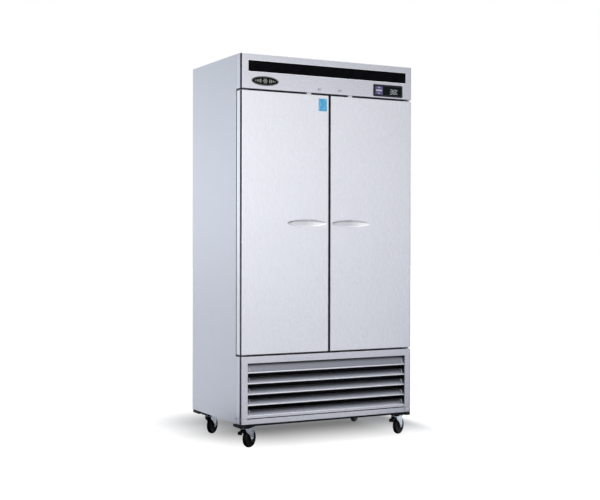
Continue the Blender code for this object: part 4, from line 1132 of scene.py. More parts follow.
def make_pull(side_name):
    """A pressed scoop that slopes up to a finger pocket behind its upper lip."""
    node = side_name + "_door_pull"
    front = span(node)[0].y + 0.0012
    outline, pull_z = pull_outline(node, 0.0)
    fades = [(1.0 - u ** 12) ** 0.7 if u < 0 else (1.0 - u * u) ** 1.1 for _, _, u in outline]
    bm = bmesh.new()
    rows = []
    for v, depth in PULL_SECTION:
        points = [(x, front + depth * fade, pull_z + v * half) for (x, half, _), fade in zip(outline, fades)]
        rows.append([bm.verts.new(point) for point in points])
    skin(bm, rows)
    new_piece(side_name + "_door_dish", bm, node, sheet=0.0008, angle=80, even=False)


# Across the gasket from its outer edge: inset, and height as a fraction of its depth.
GASKET_SECTION = [
    (0.0005, 0.0),
    (0.0, 0.20),
    (0.0016, 0.32),
    (0.0002, 0.46),
    (0.0014, 0.60),
    (0.0002, 0.78),
    (0.0006, 1.0),
    (0.0052, 0.94),
    (0.0100, 1.0),
    (0.0118, 0.86),
    (0.0106, 0.60),
    (0.0118, 0.40),
    (0.0112, 0.0),
]


def make_door_back(side_name):
    """The door's inner side: a lining whose edge tucks under the skin, a raised panel, and the gasket."""
    low, high = span(side_name + "_door_skin")
    core = side_name + "_door_core"
    step = 0.0013
    back, dyke_back = high.y, span(core)[1].y
    left, right = (0.058, 0.028) if side_name == "left" else (0.028, 0.058)
    outer = ((low.x + step, low.z + step), (high.x - step, high.z - step))
    dyke = ((low.x + left, low.z + 0.052), (high.x - right, high.z - 0.052))
    edge = [(0.0, FRONT_Y + 0.013), (0.0, back - 0.0008), (0.0008, back)]
    rise = [(-0.003, back), (0.0, back + 0.0012), (0.002, dyke_back - 0.0008), (0.004, dyke_back)]
    rise += [(0.040, dyke_back), (0.044, dyke_back - 0.0026)]
    bm = bmesh.new()
    loft(bm, stepped(*outer, 0.004, edge, 6) + stepped(*dyke, 0.018, rise, 6), caps=(False, True))
    new_piece(side_name + "_door_lining", bm, core)

    gasket = side_name + "_door_gasket"
    low, high = span(gasket)
    section = [(inset, low.y + part * (high.y - low.y)) for inset, part in GASKET_SECTION]
    bm = bmesh.new()
    loft(bm, stepped((low.x, low.z), (high.x, high.z), 0.0008, section, 2), ring=True)
    new_piece(side_name + "_door_seal", bm, gasket)


def make_keeper(side_name):
    """The pale keeper on top of a door that its lock drops behind."""
    node = side_name + "_door_skin"
    x = -0.125 if side_name == "left" else 0.125
    foot = span(node)[1].z + 0.0002
    top = span("fascia_panel")[0].z - 0.0006
    bm = bmesh.new()
    slab(bm, (x - 0.0130, FRONT_Y + 0.0008, foot), (x + 0.0130, FRONT_Y + 0.0200, top), 0.0010, 0.0006)
    lip_low = (x - 0.0120, FRONT_Y + 0.0200, foot)
    slab(bm, lip_low, (x + 0.0120, FRONT_Y + 0.0330, foot + 0.0028), 0.0006, 0.0004)
    new_piece(side_name + "_lock_keeper", bm, node, "housing_plastic", replace=False)


def make_label():
    """A blue paper label by the free upper corner of the left door."""
    high = span("left_door_skin")[1]
    right, top = high.x - 0.012, high.z - 0.018
    film = [(0.0, 0.00002), (0.0, 0.00012), (0.0002, 0.0002), (0.0060, 0.00025)]
    bm = bmesh.new()
    section = [(inset, FRONT_Y - rise) for inset, rise in film]
    loft(bm, stepped((right - 0.050, top - 0.068), (right, top), 0.0010, section))
    new_piece("energy_label", bm, "left_door_skin", "label", replace=False)


def make_hinges():
    """Flat brackets with a rounded end, a capped pin and a turned-up root."""
    pin = [(0.0, 0.0185), (0.0038, 0.0180), (0.0050, 0.0165), (0.0050, 0.0), (0.0, 0.0)]
    cap = [(0.0, 0.0032), (0.0050, 0.0030), (0.0068, 0.0020), (0.0072, 0.0010), (0.0, 0.0010)]
    half = 0.0015
    for side_name in ("left", "right"):
        pivot = JOINT_AT[side_name + "_door_hinge"]
        for level, into_door in (("upper", -1), ("lower", 1)):
            node = f"{side_name}_{level}_hinge"
            low, high = span(node)
            middle_z = high.z - 0.0040 if level == "upper" else low.z + 0.0040
            bottom, top = middle_z - half, middle_z + half
            bm = bmesh.new()
            slab(bm, (low.x, low.y, bottom), (high.x, high.y - 0.0004, top), 0.008, 0.0006, "z")
            root_low = (low.x, high.y - 0.0022, bottom - 0.0025)
            slab(bm, root_low, (high.x, high.y, top + 0.0025), 0.0010, 0.0004)
            place = Vector((pivot.x, pivot.y, middle_z))
            turned(bm, pin, facing(place, (0, 0, into_door)), 20)
            turned(bm, cap, facing(place, (0, 0, -into_door)), 20)
            # The brackets take the darkened hinge steel: painted shade.
            new_piece(node + "_bracket", bm, node)


# ---- Lower grille

# The opening's half width, foot and top, then the blades in it.
OPENING_X = 0.478
OPENING_FOOT = 0.178
OPENING_TOP = 0.458
LOUVRES = [0.1795 + 0.0572 * index for index in range(5)]
LOUVRE_HALF = OPENING_X - 0.0004
LOUVRE_FACE = FRONT_Y + 0.0036
LIP = [
    (0.0060, -0.0036),
    (0.0012, -0.0036),
    (0.0002, -0.0030),
    (0.0, -0.0020),
    (0.0, 0.0022),
    (0.0006, 0.0032),
    (0.0018, 0.0040),
]


def make_grille():
    """The grille's formed front, with a pressed line and a dark seam below its opening."""
    node = "lower_grille"
    low, high = span(node)
    opening = ((-OPENING_X, OPENING_FOOT), (OPENING_X, OPENING_TOP))
    crease = OPENING_FOOT - 0.0125
    line = [(-0.0024, 0.0), (-0.0018, 0.0036), (0.0018, 0.0036), (0.0024, 0.0)]
    between = [(crease + rise, inset) for rise, inset in line] + [(OPENING_FOOT, 0.0), (OPENING_TOP, 0.0)]
    profile = front_profile(low.x, high.x, high.y, CORNER, CORNER, (-OPENING_X, OPENING_X))
    bm = bmesh.new()
    formed(bm, profile, rim_levels(low.z, high.z, FLANGE, 0.003, between), [opening])
    new_piece("grille_front", bm, node, "band_steel", sheet=SHEET, soft=0.0004)
    make_lid("grille_lid", node)
    bm = bmesh.new()
    right = OPENING_X + 0.0012
    seam_low = (-OPENING_X, FRONT_Y + 0.0012, crease - 0.0017)
    slab(bm, seam_low, (right, FRONT_Y + 0.0034, crease + 0.0017), 0.0008, 0.0003)
    post_low = (right - 0.0009, FRONT_Y - 0.0001, low.z + 0.0045)
    slab(bm, post_low, (right + 0.0009, FRONT_Y + 0.0010, crease), 0.0004, 0.0001)
    new_piece("grille_seam", bm, node, "dark_inside", replace=False)


def make_louvres():
    """Long blades with hemmed lips, cheeks at both ends, a small gusset under each end, and screws."""
    node = "lower_grille"
    lips, blades = bmesh.new(), bmesh.new()
    for z in LOUVRES:
        reach, lean = (0.056, math.radians(68)) if z == LOUVRES[-1] else (0.043, math.radians(48))
        lip = [(LOUVRE_FACE + depth, z + rise) for depth, rise in LIP]
        blade = [lip[-1], (LOUVRE_FACE + reach * math.cos(lean), z + reach * math.sin(lean))]
        for bm, path in ((lips, lip), (blades, blade)):
            ends = [[(x, y, height) for x in (-LOUVRE_HALF, LOUVRE_HALF)] for y, height in path]
            skin(bm, [[bm.verts.new(point) for point in pair] for pair in ends])
    # The lips take the brighter door steel and the blades a darker copy of it: painted light and shade on what is
    # one pressed sheet.
    new_piece("grille_lips", lips, node, "outer_steel", replace=False, sheet=0.0009)
    new_piece("grille_louvres", blades, node, "louvre_shade_steel", replace=False, sheet=0.0009)

    cheeks, gussets = bmesh.new(), bmesh.new()
    gusset = [(0.003, 0.004), (0.0270, 0.0290), (0.0100, 0.0290), (0.0015, 0.0070)]
    for side in SIDES:
        inner, outer = sorted((side * (OPENING_X - 0.0010), side * (OPENING_X + 0.0001)))
        cheek_low = (inner, FRONT_Y + 0.0012, OPENING_FOOT - 0.002)
        slab(cheeks, cheek_low, (outer, FRONT_Y + 0.050, OPENING_TOP + 0.002), 0.0010, 0.0003, "x")
        ends = sorted((side * (LOUVRE_HALF - 0.0150), side * (LOUVRE_HALF - 0.0135)))
        for z in LOUVRES:
            outline = [(LOUVRE_FACE + depth, z + rise) for depth, rise in gusset]
            loft(gussets, [(outline, x) for x in ends], "x")
    # The cheeks take the darker steel as well: painted shade at the ends of the opening.
    new_piece("grille_cheeks", cheeks, node, "louvre_shade_steel", replace=False)
    # The steel gussets take the pale plastic finish: a painted highlight.
    new_piece("grille_gussets", gussets, node, "housing_plastic", replace=False)
    low, high = span(node)
    points = in_plane((low.x + 0.020, high.x - 0.020), (low.z + 0.016, high.z - 0.016), FRONT_Y + 0.0004)
    screws("grille_screws", node, points, FORWARD, 0.0032, "pull_steel")


# ---- Base and casters

CASTERS = ("front_left", "front_right", "rear_left", "rear_right")
TRAIL = 0.035
WHEEL_RADIUS = 0.050
LEG_OUTER, LEG_INNER = 0.0195, 0.0165


def make_base():
    """Bolts under the painted base, which keeps its CAD shape."""
    under = span("base_frame")[0].z + 0.0001
    washer = [(0.0, 0.0010), (0.0068, 0.0010), (0.0070, 0.0006), (0.0070, -0.0003), (0.0, -0.0003)]
    head = [(0.0, 0.0050), (0.0040, 0.0050), (0.0052, 0.0044), (0.0052, 0.0010), (0.0, 0.0010)]
    bm = bmesh.new()
    for caster in CASTERS:
        swivel = JOINT_AT[caster + "_swivel"]
        for dx in (-0.028, 0.028):
            for dy in (-0.028, 0.028):
                place = facing(Vector((swivel.x + dx, swivel.y + dy, under)), DOWN)
                turned(bm, washer, place, 16)
                turned(bm, head, place, 6)
    new_piece("caster_bolts", bm, "base_frame", "caster_zinc", replace=False)


def caster_place(place):
    """The place of a caster's own frame: X trails behind the swivel axis, Y lies along the axle."""
    swivel = JOINT_AT[place + "_swivel"]
    axle = JOINT_AT[place + "_wheel_spin"]
    turn = math.atan2(axle.y - swivel.y, axle.x - swivel.x)
    return Matrix.Translation((swivel.x, swivel.y, 0.0)) @ Matrix.Rotation(turn, 4, "Z")


def fork_leg():
    """A leg's side outline: a round foot at the axle, a hollow front and a bowed back, up to the crown."""
    foot = [math.radians(170 + 20 * step) for step in range(11)]
    outline = [(TRAIL + 0.0125 * math.cos(a), WHEEL_RADIUS + 0.0125 * math.sin(a)) for a in foot]
    back = ((0.0475, 0.0560), (0.0495, 0.0720), (0.0480, 0.0900), (0.0440, 0.1045))
    front = ((-0.0200, 0.1045), (-0.0150, 0.0900), (0.0040, 0.0760), (0.0180, 0.0640))
    for edge in (back, front):
        outline += [(point.x, point.z) for point in curved([(x, 0, z) for x, z in edge], 3)]
    return outline


def make_fork(caster, own):
    """A pressed fork: a crown with a ball race, two tapered legs and a bolted axle."""
    node = caster + "_caster_fork"
    top = span(node)[1].z
    race = [(0.0, 0.0), (0.0215, 0.0), (0.0230, -0.0008), (0.0230, -0.0030)]
    race += [(0.0205, -0.0042), (0.0240, -0.0056)]
    profile = [(radius, top + drop) for radius, drop in race] + [(0.0240, 0.1062), (0.0, 0.1062)]
    bm = bmesh.new()
    turned(bm, profile, own, 32)
    new_piece(caster + "_race", bm, node, "base_paint", replace=False)

    bm = bmesh.new()
    slab(bm, (-0.024, -LEG_OUTER, 0.1035), (0.046, LEG_OUTER, 0.1065), 0.015, 0.0008, "z", own, 6)
    leg = fork_leg()
    centre = [sum(values) / len(leg) for values in zip(*leg)]
    eased = [(x + 0.03 * (centre[0] - x), z + 0.03 * (centre[1] - z)) for x, z in leg]
    washer = [(0.0, 0.0012), (0.0085, 0.0012), (0.0092, 0.0006), (0.0092, 0.0), (0.0, 0.0)]
    nut = [(0.0, 0.0040), (0.0052, 0.0040), (0.0066, 0.0032), (0.0066, 0.0010), (0.0, 0.0010)]
    for side in SIDES:
        near, far = sorted((side * LEG_INNER, side * LEG_OUTER))
        loft(bm, [(eased, near), (leg, near + 0.0007), (leg, far - 0.0007), (eased, far)], "y", place=own)
        seat = own @ facing(Vector((TRAIL, side * (LEG_OUTER - 0.0001), WHEEL_RADIUS)), Vector((0, side, 0)))
        turned(bm, washer, seat, 20)
        turned(bm, nut, seat, 6)
    shaft = own @ facing(Vector((TRAIL, -LEG_OUTER, WHEEL_RADIUS)), BACKWARD)
    turned(bm, [(0.0, 0.0390), (0.0038, 0.0390), (0.0038, 0.0), (0.0, 0.0)], shaft, 16)
    new_piece(caster + "_fork", bm, node)


def make_wheel(caster, own):
    """A wheel with a crowned tread, a grooved side, a ribbed web and a hub."""
    node = caster + "_caster_wheel"
    centre = own @ facing(Vector((TRAIL, 0.0, WHEEL_RADIUS)), BACKWARD)
    side = [
        (0.0046, 0.0137),
        (0.0105, 0.0137),
        (0.0125, 0.0115),
        (0.0135, 0.0078),
        (0.0290, 0.0074),
        (0.0325, 0.0100),
        (0.0345, 0.0107),
        (0.0365, 0.0117),
        (0.0375, 0.0103),
        (0.0385, 0.0119),
        (0.0440, 0.0123),
        (0.0470, 0.0103),
        (0.0488, 0.0070),
        (WHEEL_RADIUS, 0.0030),
    ]
    bm = bmesh.new()
    turned(bm, side + [(reach, -height) for reach, height in reversed(side)], centre, 48)
    for sign in SIDES:
        near, far = sorted((sign * 0.0065, sign * 0.0104))
        for index in range(6):
            spin = centre @ Matrix.Rotation(math.tau * index / 6, 4, "Z")
            slab(bm, (0.0120, -0.0014, near), (0.0325, 0.0014, far), 0.0008, 0.0005, "z", spin, 2)
    new_piece(caster + "_wheel", bm, node)


def make_pedal(caster, own):
    """A brake pedal with a turned-down end and grip ribs across its tread."""
    node = caster + "_brake_pedal"
    pin = Vector((-0.016, 0.0, 0.096))
    tread = own @ Matrix.Translation(pin) @ Matrix.Rotation(-math.atan2(0.006, 0.036), 4, "Y")
    bm = bmesh.new()
    slab(bm, (-0.0370, -0.0145, -0.0026), (0.002, 0.0145, 0.0024), 0.006, 0.0012, "z", tread)
    slab(bm, (-0.0375, -0.0135, -0.0130), (-0.0325, 0.0135, 0.0010), 0.004, 0.0012, "x", tread)
    for step in range(5):
        x = -0.0330 + step * 0.0048
        slab(bm, (x, -0.0110, 0.0018), (x + 0.0022, 0.0110, 0.0034), 0.0008, 0.0005, "z", tread, 2)
    sweep(bm, [own @ (pin + Vector((0, y, 0))) for y in (-0.0160, 0.0160)], 0.0034, 14)
    new_piece(caster + "_pedal", bm, node)


def make_casters():
    for caster in CASTERS:
        own = caster_place(caster)
        make_fork(caster, own)
        make_wheel(caster, own)
        if caster.startswith("front"):
            make_pedal(caster, own)


# ---- Sheets with holes, and fans

def punched(bm, low, high, at, round_holes=(), slots=(), collar=()):
    """A flat sheet over a rectangle, with round holes, their collars, and straight-sided openings."""
    steps = 8
    columns = {round(value, 6) for value in (low[0], high[0])}
    rows = {round(value, 6) for value in (low[1], high[1])}
    for slot_low, slot_high in slots:
        columns |= {round(slot_low[0], 6), round(slot_high[0], 6)}
        rows |= {round(slot_low[1], 6), round(slot_high[1], 6)}
    patches = []
    for (x, z), radius in round_holes:
        half = 1.10 * radius
        xs = [round(x + half * (2 * step / steps - 1), 6) for step in range(steps + 1)]
        zs = [round(z + half * (2 * step / steps - 1), 6) for step in range(steps + 1)]
        columns |= set(xs)
        rows |= set(zs)
        patches.append((xs, zs, (x, z), radius))
    columns, rows = sorted(columns), sorted(rows)
    verts = {}

    def corner(x, z):
        if (x, z) not in verts:
            verts[x, z] = bm.verts.new(at(x, z, 0.0))
        return verts[x, z]

    empty = [((xs[0], zs[0]), (xs[-1], zs[-1])) for xs, zs, _, _ in patches] + list(slots)
    for left, right in zip(columns, columns[1:]):
        for below, above in zip(rows, rows[1:]):
            x, z = (left + right) / 2, (below + above) / 2
            if any(a < x < b and c < z < d for (a, c), (b, d) in empty):
                continue
            spots = ((left, below), (right, below), (right, above), (left, above))
            bm.faces.new([corner(*spot) for spot in spots])
    for xs, zs, (x, z), radius in patches:
        edge = [(a, zs[0]) for a in xs] + [(xs[-1], b) for b in zs[1:]]
        edge += [(a, zs[-1]) for a in xs[-2::-1]] + [(xs[0], b) for b in zs[-2:0:-1]]
        ring = [corner(a, b) for a, b in edge]
        for change, depth in ((0.0, 0.0), *collar):
            inner = []
            for a, b in edge:
                angle = math.atan2(b - z, a - x)
                reach = radius + change
                spot = at(x + reach * math.cos(angle), z + reach * math.sin(angle), depth)
                inner.append(bm.verts.new(spot))
            for index in range(len(ring)):
                after = (index + 1) % len(ring)
                bm.faces.new((ring[index], ring[after], inner[after], inner[index]))
            ring = inner
    bmesh.ops.recalc_face_normals(bm, faces=bm.faces[:])


def plates(bm, low, high, count, thickness):
    """Thin upright plates, evenly spaced along X between two corners."""
    for index in range(count):
        x = low[0] + (high[0] - low[0] - thickness) * index / (count - 1)
        spots = [(a, b, c) for a in (x, x + thickness) for b in (low[1], high[1]) for c in (low[2], high[2])]
        corners = [bm.verts.new(spot) for spot in spots]
        for face in ((0, 1, 3, 2), (4, 6, 7, 5), (0, 4, 5, 1), (2, 3, 7, 6), (0, 2, 6, 4), (1, 5, 7, 3)):
            bm.faces.new([corners[index] for index in face])


def serpentine(bm, low, high, rows, radius, depths, bulge):
    """Tubes along X in rows, joined by bends that stand out of alternate ends."""
    pitch = (high[2] - low[2]) / rows
    for depth in depths:
        for row in range(rows):
            z = low[2] + (row + 0.5) * pitch
            sweep(bm, [(low[0] - 0.004, depth, z), (high[0] + 0.004, depth, z)], radius, 8)
            if row == rows - 1:
                continue
            out, x = (1, high[0]) if row % 2 else (-1, low[0])
            bend = []
            for step in range(9):
                angle = math.pi * step / 8
                bend.append((x + out * bulge * math.sin(angle), depth, z + pitch / 2 * (1 - math.cos(angle))))
            sweep(bm, bend, radius, 8)


BLADES = 5
BLADE_SWEEP = 0.25
ACROSS, ALONG = 8, 7


def make_fan(node, hub_radius):
    """A fan with a domed hub and twisted, swept blades."""
    low, high = span(node)
    radius, half = (high.x - low.x) / 2, (high.y - low.y) / 2
    place = facing(JOINT_AT[node + "_spin"], FORWARD)
    dome = [(0.0, 1.0), (0.45, 0.96), (0.85, 0.70), (1.0, 0.30), (1.0, -0.80), (0.82, -0.85), (0.0, -0.85)]
    bm = bmesh.new()
    turned(bm, [(reach * hub_radius, height * half) for reach, height in dome], place, 28)
    new_piece(node + "_hub", bm, node)
    bm = bmesh.new()
    root = 0.94 * hub_radius
    for blade in range(BLADES):
        rows = []
        for step in range(ALONG + 1):
            u = step / ALONG
            reach = root + (radius - root) * u
            width = (0.62 + 0.34 * math.sin(math.pi * min(1.0, 0.25 + 0.75 * u))) * (1.0 - 0.30 * u ** 6)
            row = []
            for part in range(ACROSS + 1):
                v = part / ACROSS - 0.5
                angle = math.tau * blade / BLADES + v * width + BLADE_SWEEP * u * u
                rise = -v * 1.5 * half * (1.0 - 0.25 * u) + 0.25 * half * (0.25 - v * v)
                spot = Vector((reach * math.cos(angle), reach * math.sin(angle), rise))
                row.append(bm.verts.new(place @ spot))
            rows.append(row)
        skin(bm, rows)
    new_piece(node + "_blades", bm, node, replace=False, sheet=0.0014, even=False)


# ---- Cold room

CLIP_LEVEL = 0.0003
SLOT_PITCH = 0.0254
SLOT_HEIGHT = 0.0104
# A pilaster's section: across it, and out from the wall. The slots are cut in its middle strip.
PILASTER = [(-0.012, 0.0), (-0.012, 0.008), (-0.0042, 0.008), (0.0042, 0.008), (0.012, 0.008), (0.012, 0.0)]
PILASTER_SLOT = 2
SHELVES = [(side, level) for side in ("left", "right") for level in ("lower", "middle", "upper")]


def make_liner():
    """The lining: a pan with coved corners."""
    low, high = span("interior_liner")
    flat = ((low.x, low.z), (high.x, high.z))
    cove = 0.014
    angles = [math.pi / 2 * step / 5 for step in range(6)]
    section = [(cove * (1 - math.cos(a)) * 0.95, high.y - cove * (1 - math.sin(a))) for a in angles]
    loops = [(rounded(*flat, 0.0006, 6), low.y + 0.0004), (rounded(*flat, cove, 6), low.y + 0.0006)]
    bm = bmesh.new()
    loft(bm, loops + stepped(*flat, cove, section, 6), caps=(False, True))
    new_piece("liner_pan", bm, "interior_liner", sheet=0.0010, even=False)


def pilaster_feet():
    """Where each pilaster stands, and the direction that it faces."""
    high = span("interior_liner")[1]
    wall, back, mullion = high.x - 0.0012, high.y - 0.0012, span("door_frame")[1].y
    feet = [(Vector((side * wall, y, 0)), Vector((-side, 0, 0))) for side in SIDES for y in (-0.200, 0.235)]
    return feet + [(Vector((0, back, 0)), Vector(FORWARD)), (Vector((0, mullion, 0)), Vector(BACKWARD))]


def make_pilasters():
    """Slotted pilasters, and a clip on each under every shelf."""
    low, high = span("interior_liner")
    floor, ceiling = low.z + 0.06, high.z - 0.26
    count = int((ceiling - floor) / SLOT_PITCH)
    bm = bmesh.new()
    for foot, out in pilaster_feet():
        across = out.cross(Vector(UP))
        rows = []
        for level in range(2 * count + 1):
            z = floor + level // 2 * SLOT_PITCH + (SLOT_HEIGHT if level % 2 else 0.0)
            rows.append([bm.verts.new(foot + a * across + d * out + Vector((0, 0, z))) for a, d in PILASTER])
        for level, (row, above) in enumerate(zip(rows, rows[1:])):
            slotted = level % 2 == 0 and 0 < level < 2 * count - 1
            for index in range(len(PILASTER) - 1):
                if not (slotted and index == PILASTER_SLOT):
                    bm.faces.new((row[index], row[index + 1], above[index + 1], above[index]))
    bmesh.ops.recalc_face_normals(bm, faces=bm.faces[:])
    new_piece("shelf_pilasters", bm, "interior_liner", "bright_liner", replace=False, sheet=0.0009)

    bm = bmesh.new()
    for level in ("lower", "middle", "upper"):
        under = span(f"left_{level}_shelf")[0].z - CLIP_LEVEL
        for foot, out in pilaster_feet():
            across = out.cross(Vector(UP))
            width, reach = (0.030, 0.044) if foot.x == 0 else (0.009, 0.028)
            # A tab under the shelf, then a web down the pilaster: distances out, depths below the shelf.
            for near, far, bottom, top, radius, soft in (
                (0.0078, reach, 0.0016, 0.0, 0.0015, 0.0004),
                (0.0080, 0.0096, 0.016, 0.0010, 0.0006, 0.0002),
            ):
                corners = foot - width * across + near * out, foot + width * across + far * out
                xs, ys = (sorted(corner[axis] for corner in corners) for axis in (0, 1))
                slab(bm, (xs[0], ys[0], under - bottom), (xs[1], ys[1], under - top), radius, soft, "z")
    new_piece("shelf_clips", bm, "interior_liner", "lock_chrome", replace=False)


# The two openings of the frame: from the middle post to a side, and from foot to top.
POST_X, SIDE_X = 0.0250, 0.4660
FOOT_Z, HEAD_Z = 0.5460, 1.8550


def make_frame():
    """The plastic frame around both openings: a face, rounded linings, a backing and screws."""
    node = "door_frame"
    low, high = span(node)
    openings = [((-SIDE_X, FOOT_Z), (-POST_X, HEAD_Z)), ((POST_X, FOOT_Z), (SIDE_X, HEAD_Z))]
    bm = bmesh.new()
    punched(bm, (low.x, low.z), (high.x, high.z),
            lambda x, z, depth: Vector((x, low.y + 0.0002, z)), slots=openings)
    new_piece("frame_face", bm, node, sheet=0.0016)
    lining = [(-0.0040, 0.0), (0.0, 0.0), (0.0016, 0.0010), (0.0016, 0.0060), (0.0, 0.0075), (0.0, 0.0225)]
    bm = bmesh.new()
    for opening in openings:
        section = [(inset, low.y + depth) for inset, depth in lining]
        loft(bm, stepped(*opening, 0.006, section), caps=(False, False))
    new_piece("frame_linings", bm, node, replace=False, sheet=0.0012, even=False)
    bm = bmesh.new()
    back = high.y - 0.0020
    slab(bm, (-POST_X + 0.0004, back, FOOT_Z), (POST_X - 0.0004, high.y, HEAD_Z), 0.0010, 0.0003)
    slab(bm, (-SIDE_X, back, HEAD_Z + 0.0010), (SIDE_X, high.y, high.z - 0.002), 0.0010, 0.0003)
    new_piece("frame_backing", bm, node, replace=False)
    points = in_plane((-0.491, 0.0, 0.491), (0.60, 0.90, 1.20, 1.50, 1.80), low.y + GAP)
    screws("frame_screws", node, points, FORWARD, 0.0032, "lock_chrome")


SHELF_RODS = 5
SHELF_WIRES = 18


def make_shelf(node):
    """A coated wire shelf: an edge rod, cross rods under it and fine wires from front to back."""
    low, high = span(node)
    edge, cross, wire = 0.0029, 0.0016, 0.0013
    left, right = low.x + edge, high.x - edge
    front, rear = low.y + edge, high.y - edge
    bm = bmesh.new()
    outline = inset_rounded((low.x, low.y), (high.x, high.y), 0.014, edge, 3)
    sweep(bm, [(x, y, high.z - edge) for x, y in outline], edge, 10, closed=True)
    for index in range(SHELF_RODS):
        y = front + (rear - front) * (index + 0.5) / SHELF_RODS
        sweep(bm, [(left, y, low.z + cross), (right, y, low.z + cross)], cross * 1.2, 8)
    top = high.z - wire
    for index in range(SHELF_WIRES):
        x = left + (right - left) * (index + 1) / (SHELF_WIRES + 1)
        hook = (x, front, high.z - 2 * edge + wire)
        sweep(bm, [hook, (x, front + 0.004, top), (x, rear - 0.004, top), (x, rear, top - 0.001)], wire, 6)
    new_piece(node + "_wires", bm, node, angle=60)


FAN_HOLE = 0.080
GUARD_RINGS = (0.018, 0.034, 0.050, 0.066, 0.083)


def make_evaporator_cover():
    """The evaporator's moulded cover, with round sides and foot, guarded fans and screws."""
    node = "evaporator_cover"
    low, high = span(node)
    turn = 0.010
    fans = [JOINT_AT[side + "_evaporator_fan_spin"] for side in ("left", "right")]
    collar = [(-0.0010, 0.0006), (-0.0016, 0.0030), (-0.0016, 0.0120)]
    bm = bmesh.new()
    punched(bm, (low.x + turn, low.z + turn), (high.x - turn, high.z),
            lambda x, z, depth: Vector((x, low.y + depth, z)),
            [((spot.x, spot.z), FAN_HOLE) for spot in fans], collar=collar)
    new_piece("evaporator_front", bm, node, sheet=0.0018, even=False)

    bm = bmesh.new()
    angles = [math.pi / 2 * step / 5 for step in range(6)]
    section = [(turn * (1 - math.sin(a)), low.y + turn * (1 - math.cos(a))) for a in angles]
    rows = []
    for inset, y in section + [(0.0, high.y)]:
        cut = inset + 0.3 * (turn - inset)
        half = [(inset, high.z), (inset, low.z + turn), (cut, low.z + cut), (turn, low.z + inset)]
        points = [(low.x + x, y, z) for x, z in half] + [(high.x - x, y, z) for x, z in reversed(half)]
        rows.append([bm.verts.new(point) for point in points])
    skin(bm, rows)
    bmesh.ops.recalc_face_normals(bm, faces=bm.faces[:])
    new_piece("evaporator_case", bm, node, replace=False, sheet=0.0018, even=False)

    bm = bmesh.new()
    boss = [(0.0, 0.0014), (0.010, 0.0012), (0.012, 0.0), (0.012, -0.0012), (0.0, -0.0012)]
    for spot in fans:
        centre = Vector((spot.x, low.y - 0.0060, spot.z))
        for radius in GUARD_RINGS:
            sweep(bm, circle(centre, radius, 40), 0.0011, 6, closed=True)
        for spoke in range(4):
            angle = math.pi / 4 + math.pi / 2 * spoke
            out = Vector((math.cos(angle), 0, math.sin(angle)))
            tip = centre + 0.087 * out
            sweep(bm, [centre + 0.010 * out, tip, tip + Vector((0, 0.0058, 0))], 0.0014, 6)
        turned(bm, boss, facing(centre, FORWARD), 24)
    new_piece("evaporator_guards", bm, node, "caster_zinc", replace=False)
    points = in_plane((low.x + 0.018, 0.0, high.x - 0.018), (low.z + 0.020, high.z - 0.020), low.y + 0.0001)
    screws("evaporator_screws", node, points, FORWARD, 0.0036, "lock_chrome")


def make_evaporator_coil():
    """A finned coil between two end plates, with return bends."""
    node = "evaporator_coil"
    low, high = span(node)
    end = 0.012
    bm = bmesh.new()
    for inset, count, thickness in ((end + 0.002, 110, 0.0003), (end, 2, 0.0014)):
        plates(bm, (low.x + inset, low.y, low.z), (high.x - inset, high.y, high.z), count, thickness)
    new_piece("evaporator_fins", bm, node)
    bm = bmesh.new()
    depths = (low.y + 0.022, high.y - 0.022)
    serpentine(bm, (low.x + end, 0, low.z), (high.x - end, 0, high.z), 6, 0.0048, depths, 0.0120)
    new_piece("evaporator_tubes", bm, node, "copper", replace=False)


def make_light():
    """The room's light: a ribbed diffuser between two end caps."""
    node = "interior_light"
    low, high = span(node)
    cap, lip = 0.014, 0.0005
    middle_y, half = (low.y + high.y) / 2, (high.y - low.y) / 2
    root = high.z - 0.004
    outline = []
    steps = 20
    for step in range(steps + 1):
        angle = math.pi * (1 + step / steps)
        ripple = 0.0003 * (step % 2)
        y = middle_y + (half - ripple) * math.cos(angle)
        outline.append((y, root + (root - low.z - ripple) * math.sin(angle)))
    outline += [(high.y, high.z), (low.y, high.z)]
    bm = bmesh.new()
    loft(bm, [(outline, low.x + cap), (outline, high.x - cap)], "x")
    new_piece("light_lens", bm, node)
    bm = bmesh.new()
    for x in (low.x, high.x - cap - lip):
        end_low, end_high = (x, low.y - 0.0010, low.z - 0.0008), (x + cap + lip, high.y + 0.0010, high.z)
        slab(bm, end_low, end_high, 0.006, 0.0010, "x")
    new_piece("light_caps", bm, node, "housing_plastic", replace=False)


# ---- Machine compartment

